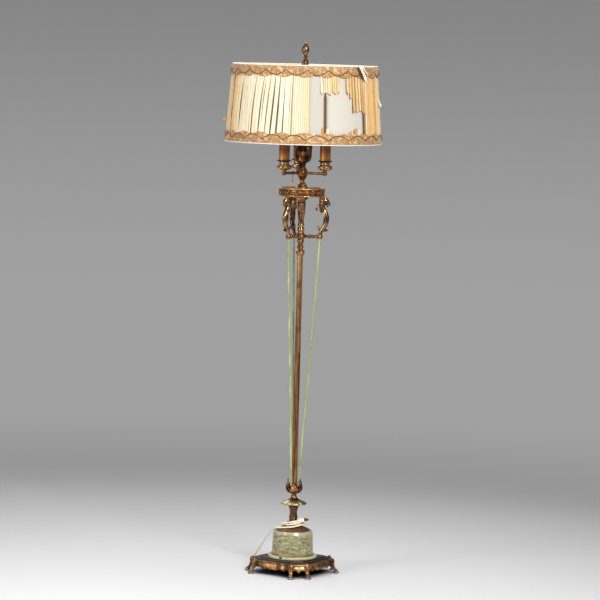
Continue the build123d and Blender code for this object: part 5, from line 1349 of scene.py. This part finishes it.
class LAMP_OT_turnings(bpy.types.Operator):
    """Turned pieces with their rings and flutes: the finial, the stems, the spindle and the arm hub."""
    bl_idname = "lamp.turnings"
    bl_label = "Turned pieces"

    def execute(self, context):
        bronze = aged_metal("stem_gilding", (96, 62, 42), (196, 146, 96), (14, 9, 7), 0.19, reach=0.012)
        brown = aged_metal("stem_bronze", (86, 58, 48), (140, 98, 72), (18, 11, 9), 0.34, reach=0.009)
        acorn = aged_metal("finial_bronze", (106, 76, 56), (186, 142, 104), (22, 14, 12), 0.24)
        gilt = aged_metal("hub_gilding", (124, 82, 50), (222, 168, 106), (16, 10, 8), 0.2, reach=0.016)

        def flutes(count, depth, low, high):
            """Hollows cut between two heights."""
            def cut(angle, height):
                hollow = abs(sin(radians(angle * count / 2)))
                return -depth * hollow * plateau(height, low, low + 3, high - 3, high)
            return cut

        self.turn("finial_acorn", "finial", acorn,
                  [(9.5, 0), (10.2, 5), (10.2, 14), (9.9, 19), (8.2, 23.5), (5.6, 28), (5.4, 31), (7.8, 34),
                   (7.8, 36), (5.0, 39.5)],
                  [(5.0, 39.5), (7.8, 43.5), (10.8, 49), (11.8, 55.5), (10.6, 62.5), (8.0, 68.5),
                   (5.0, 73.6), (2.6, 77), (0.3, 78.3)],
                  seat=1531.3, relief=flutes(count=9, depth=0.3, low=43, high=74), bore=0.0)
        self.turn("upper_stem_gilding", "upper_stem", bronze,
                  [(10.5, 0), (9.0, 4), (10.6, 9), (10.6, 13), (8.4, 18), (8.4, 20), (10.2, 25), (8.4, 30),
                   (8.6, 40), (9.8, 50), (11.2, 61), (12.2, 73), (12.7, 86), (13.2, 91)],
                  [(13.2, 91), (11.4, 94.5), (12.4, 98), (17.6, 103), (20.0, 107), (20.0, 112)],
                  [(20.0, 112), (10.0, 112), (10.0, 131)],
                  seat=1035.0, relief=flutes(count=12, depth=1.1, low=36, high=89))
        self.turn("spindle_gilding", "spindle", bronze,
                  [(20.0, 0), (19.6, 1.6), (16.6, 4.5), (14.4, 8), (12.8, 12), (9.6, 16.5), (7.0, 20.5),
                   (6.8, 23.5), (8.6, 27.5), (10.5, 30)], seat=1170.0)
        self.turn("hub_gilding", "arm_hub", gilt,
                  [(10.5, 0), (13.0, 3.5), (15.0, 8), (16.0, 13), (16.0, 19), (15.0, 24), (13.0, 28),
                   (11.2, 30.5), (12.5, 33)], seat=1200.0)
        self.turn("lower_stem_bronze", "lower_stem", brown,
                  [(12.2, 0), (12.8, 3), (11.8, 5.5), (12.9, 9), (13.0, 14), (11.8, 19), (11.2, 24),
                   (11.4, 29), (12.2, 34), (13.8, 39), (15.4, 44)],
                  seat=157.0, relief=flutes(count=10, depth=1.7, low=8, high=43))
        return {"FINISHED"}

    def turn(self, name, node, finish, *stretches, seat, relief=None, bore=PIPE_BORE):
        """Turned piece in place of a CAD node, on its body; seat is its height in mm."""
        shape = Net()
        shape.lathe(bored(bore, *stretches), turns=120, relief=relief, seat=seat)
        carry(shape.make(name, finish), "finial" if node == "finial" else "lamp", node, slot="gilt_bronze")


class LAMP_OT_finishes(bpy.types.Operator):
    """Finishes of the turned, drawn and stone pieces."""
    bl_idname = "lamp.finishes"
    bl_label = "Finishes"

    def execute(self, context):
        metal = settings("metal")
        bronze = aged_metal("turned_bronze", metal.bronze, metal.gilding, metal.recess_shade_and_dirt, 0.3)
        red = aged_metal("cap_bronze", (108, 66, 48), (138, 92, 64), (40, 26, 20), 0.44,
                         patina=(100, 86, 62), metal=0.55, reach=0.012)
        copper = aged_metal("copper_collar", (158, 98, 74), (196, 136, 104), (70, 44, 34), 0.36, metal=0.7)
        brass = aged_metal("tarnished_brass", (168, 128, 70), (206, 170, 104), (70, 50, 28), 0.34)
        porcelain = self.plain("porcelain", (226, 222, 208), (196, 186, 162), 0.18, 60)
        knob = self.plain("black_knob", (34, 30, 28), (52, 44, 38), 0.4, 180)
        bushing = self.plain("black_bushing", (40, 36, 33), (62, 54, 48), 0.6, 180)
        iron = self.plain("cast_iron", (62, 58, 54), (92, 74, 58), 0.7, 120)
        steel = self.plain("plain_steel", (150, 148, 144), (110, 98, 84), 0.4, 140, metal=0.9)
        wire = self.plain("white_wire", (222, 214, 198), (160, 126, 90), 0.5, 200)
        lead = self.plain("lead_sheath", (220, 206, 176), (186, 164, 124), 0.6, 90)
        for finish, nodes in (
                (bronze, "column_cap spoke_collar spoke_1 spoke_2 spoke_3 gallery_plate chain_guide"),
                (bronze, "arm_1 arm_2 arm_3"),
                (red, "drum_cap"),
                (copper, "drum_collar"),
                (brass, "harp harp_saddle ferrule_left ferrule_right"),
                (brass, "candle_nipples socket_shells pull_chain"),
                (self.column(), "column_tube"),
                (self.onyx(metal), "stone_drum"),
                (self.pale_stone(), "base_disc"),
                (self.celadon(metal), "tripod_rods"),
                (self.candle(), "candle_sleeve_1 candle_sleeve_2 candle_sleeve_3"),
                (porcelain, "mogul_socket candle_sockets"),
                (knob, "turn_knob"),
                (bushing, "cord_bushing"),
                (iron, "base_weight tie_pipe"),
                (steel, "base_washer base_nut"),
                (wire, "shade_rings shade_ribs shade_spider"),
                (lead, "feed_lead")):
            for node in nodes.split():
                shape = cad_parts[node].data
                shape.materials.clear()
                shape.materials.append(finish.material)
        return {"FINISHED"}

    def plain(self, name, base, worn, roughness, scale, metal=0.0):
        """Simple finish with wear in clouds."""
        finish = Finish(name, Metallic=metal)
        clouds = finish.cloud(scale)
        finish.feed(Base_Color=finish.mix(base, worn, clouds.step(0.5, 0.75)),
                    Roughness=clouds.step(0.3, 0.7, roughness - 0.05, roughness + 0.12))
        return finish.bump(clouds, 0.08)

    def column(self):
        """Brown and gold drawn tube with long streaks, lighter towards the top with painted light."""
        finish = Finish("column_bronze", Metallic=0.9)
        streaks = finish.cloud(1.0, 5, place=finish.stretched((260, 260, 6)))
        colour = finish.layers((108, 66, 45),
                               ((190, 142, 82), streaks.step(0.42, 0.64)),
                               # Painted light: the tube pales towards the top
                               ((212, 168, 112), finish.height().step(0.6, 0.97) * 0.4),
                               ((70, 36, 30), finish.cloud(18).step(0.48, 0.7) * 0.75))
        finish.feed(Base_Color=colour, Roughness=streaks.step(0.3, 0.7, 0.42, 0.28))
        return finish.bump(streaks, 0.12, 0.0005)

    def onyx(self, metal):
        """Polished onyx: olive and pale green clouds, brown veins and beige bands, paler along the top edge
        with painted light.
        """
        finish = Finish("green_onyx", Roughness=0.3, Coat_Weight=0.3, Coat_Roughness=0.22)
        place = finish.stretched((1.0, 1.0, 1.7), (0.3, 0.2, 0.4))
        flow = finish.cloud(46, 6, 0.62, place, 1.2)
        spots = finish.cloud(130, 5, 0.62, place, 0.6)
        bands = finish.wave("Z", place, Scale=12.0, Distortion=8.0, Detail=5.0, Detail_Scale=3.0)
        veins = finish.cells(34, "DISTANCE_TO_EDGE", place)
        level = finish.height()
        stain = level.step(0.066, 0.059) * finish.cloud(30, 3).step(0.5, 0.62)
        return finish.feed(Base_Color=finish.layers(
            metal.onyx,
            ((114, 106, 66), flow.step(0.44, 0.6)),
            ((196, 190, 150), bands.step(0.6, 0.95) * 0.45),
            ((222, 208, 168), spots.step(0.56, 0.7) * 0.8),
            ((94, 104, 70), spots.step(0.46, 0.34) * 0.6),
            ((140, 104, 70), veins.step(0.03, 0.0) * 0.5),
            ((150, 84, 62), stain * 0.7),
            # Painted light: paler band along the drum's top edge
            ((206, 206, 176), level.step(0.114, 0.128) * 0.4)))

    def pale_stone(self):
        """Pale green disc with a dark chip."""
        finish = Finish("pale_disc", Roughness=0.22)
        clouds = finish.cloud(40, 5)
        chip = finish.distance((-0.0462, -0.0582, 0.0550))
        colour = finish.mix((184, 206, 158), (160, 184, 128), clouds.step(0.4, 0.7))
        finish.feed(Base_Color=finish.mix((40, 52, 30), colour, chip.step(0.0056, 0.0066)))
        return finish.bump(clouds, 0.05)

    def celadon(self, metal):
        """Pale green enamel rods, olive where it has worn."""
        finish = Finish("celadon_enamel", Coat_Weight=0.3)
        streaks = finish.cloud(1.0, place=finish.stretched((180, 180, 9)))
        colour = finish.layers(metal.celadon, ((190, 194, 142), streaks.step(0.45, 0.65)),
                               ((120, 134, 76), finish.cloud(26).step(0.52, 0.7) * 0.7))
        return finish.feed(Base_Color=colour, Roughness=streaks.step(0.3, 0.7, 0.25, 0.4))

    def candle(self):
        """Candle sleeves: brown, reddish higher up and golden at the foot."""
        finish = Finish("candle_sleeve", Metallic=0.45)
        streaks = finish.cloud(1.0, place=finish.stretched((150, 150, 14)))
        colour = finish.layers((210, 138, 66), ((132, 78, 42), finish.height().step(1.258, 1.29)),
                               ((84, 44, 27), streaks.step(0.5, 0.7) * 0.55))
        finish.feed(Base_Color=colour, Roughness=streaks.step(0.3, 0.7, 0.38, 0.5))
        return finish.bump(streaks, 0.1, 0.0005)


class LAMP_PT_lamp(bpy.types.Panel):
    """Lists the steps that dress the lamp."""
    bl_idname = "LAMP_PT_lamp"
    bl_label = "Floor lamp"
    bl_space_type = "VIEW_3D"
    bl_region_type = "UI"
    bl_category = "Lamp"

    def draw(self, context):
        for step in STEPS:
            self.layout.operator(step.bl_idname)
        for group in GROUPS:
            for name in GROUPS[group].__annotations__:
                self.layout.prop(settings(group), name)


GROUPS = {"stage": StageSettings, "shade": ShadeSettings, "metal": MetalSettings, "cord": CordSettings}
STEPS = (LAMP_OT_stage, LAMP_OT_cord, LAMP_OT_silk, LAMP_OT_lining, LAMP_OT_trim, LAMP_OT_base,
         LAMP_OT_leaf_cup, LAMP_OT_figures, LAMP_OT_gallery, LAMP_OT_husk, LAMP_OT_turnings,
         LAMP_OT_finishes)


def register():
    """Adds the classes and the settings on the scene."""
    for item in (*GROUPS.values(), *STEPS, LAMP_PT_lamp):
        bpy.utils.register_class(item)
    for group, kind in GROUPS.items():
        setattr(bpy.types.Scene, "lamp_" + group, bpy.props.PointerProperty(type=kind))


def unregister():
    """Takes the classes and the settings away."""
    for group in GROUPS:
        delattr(bpy.types.Scene, "lamp_" + group)
    for item in (LAMP_PT_lamp, *STEPS, *GROUPS.values()):
        bpy.utils.unregister_class(item)


def main():
    """Dresses the lamp."""
    register()
    for rule in (copies_rule, beads_rule, festoon_rule):
        rule()
    for step in STEPS:
        group, name = step.bl_idname.split(".")
        getattr(getattr(bpy.ops, group), name)()


if __name__ == "__main__":
    main()
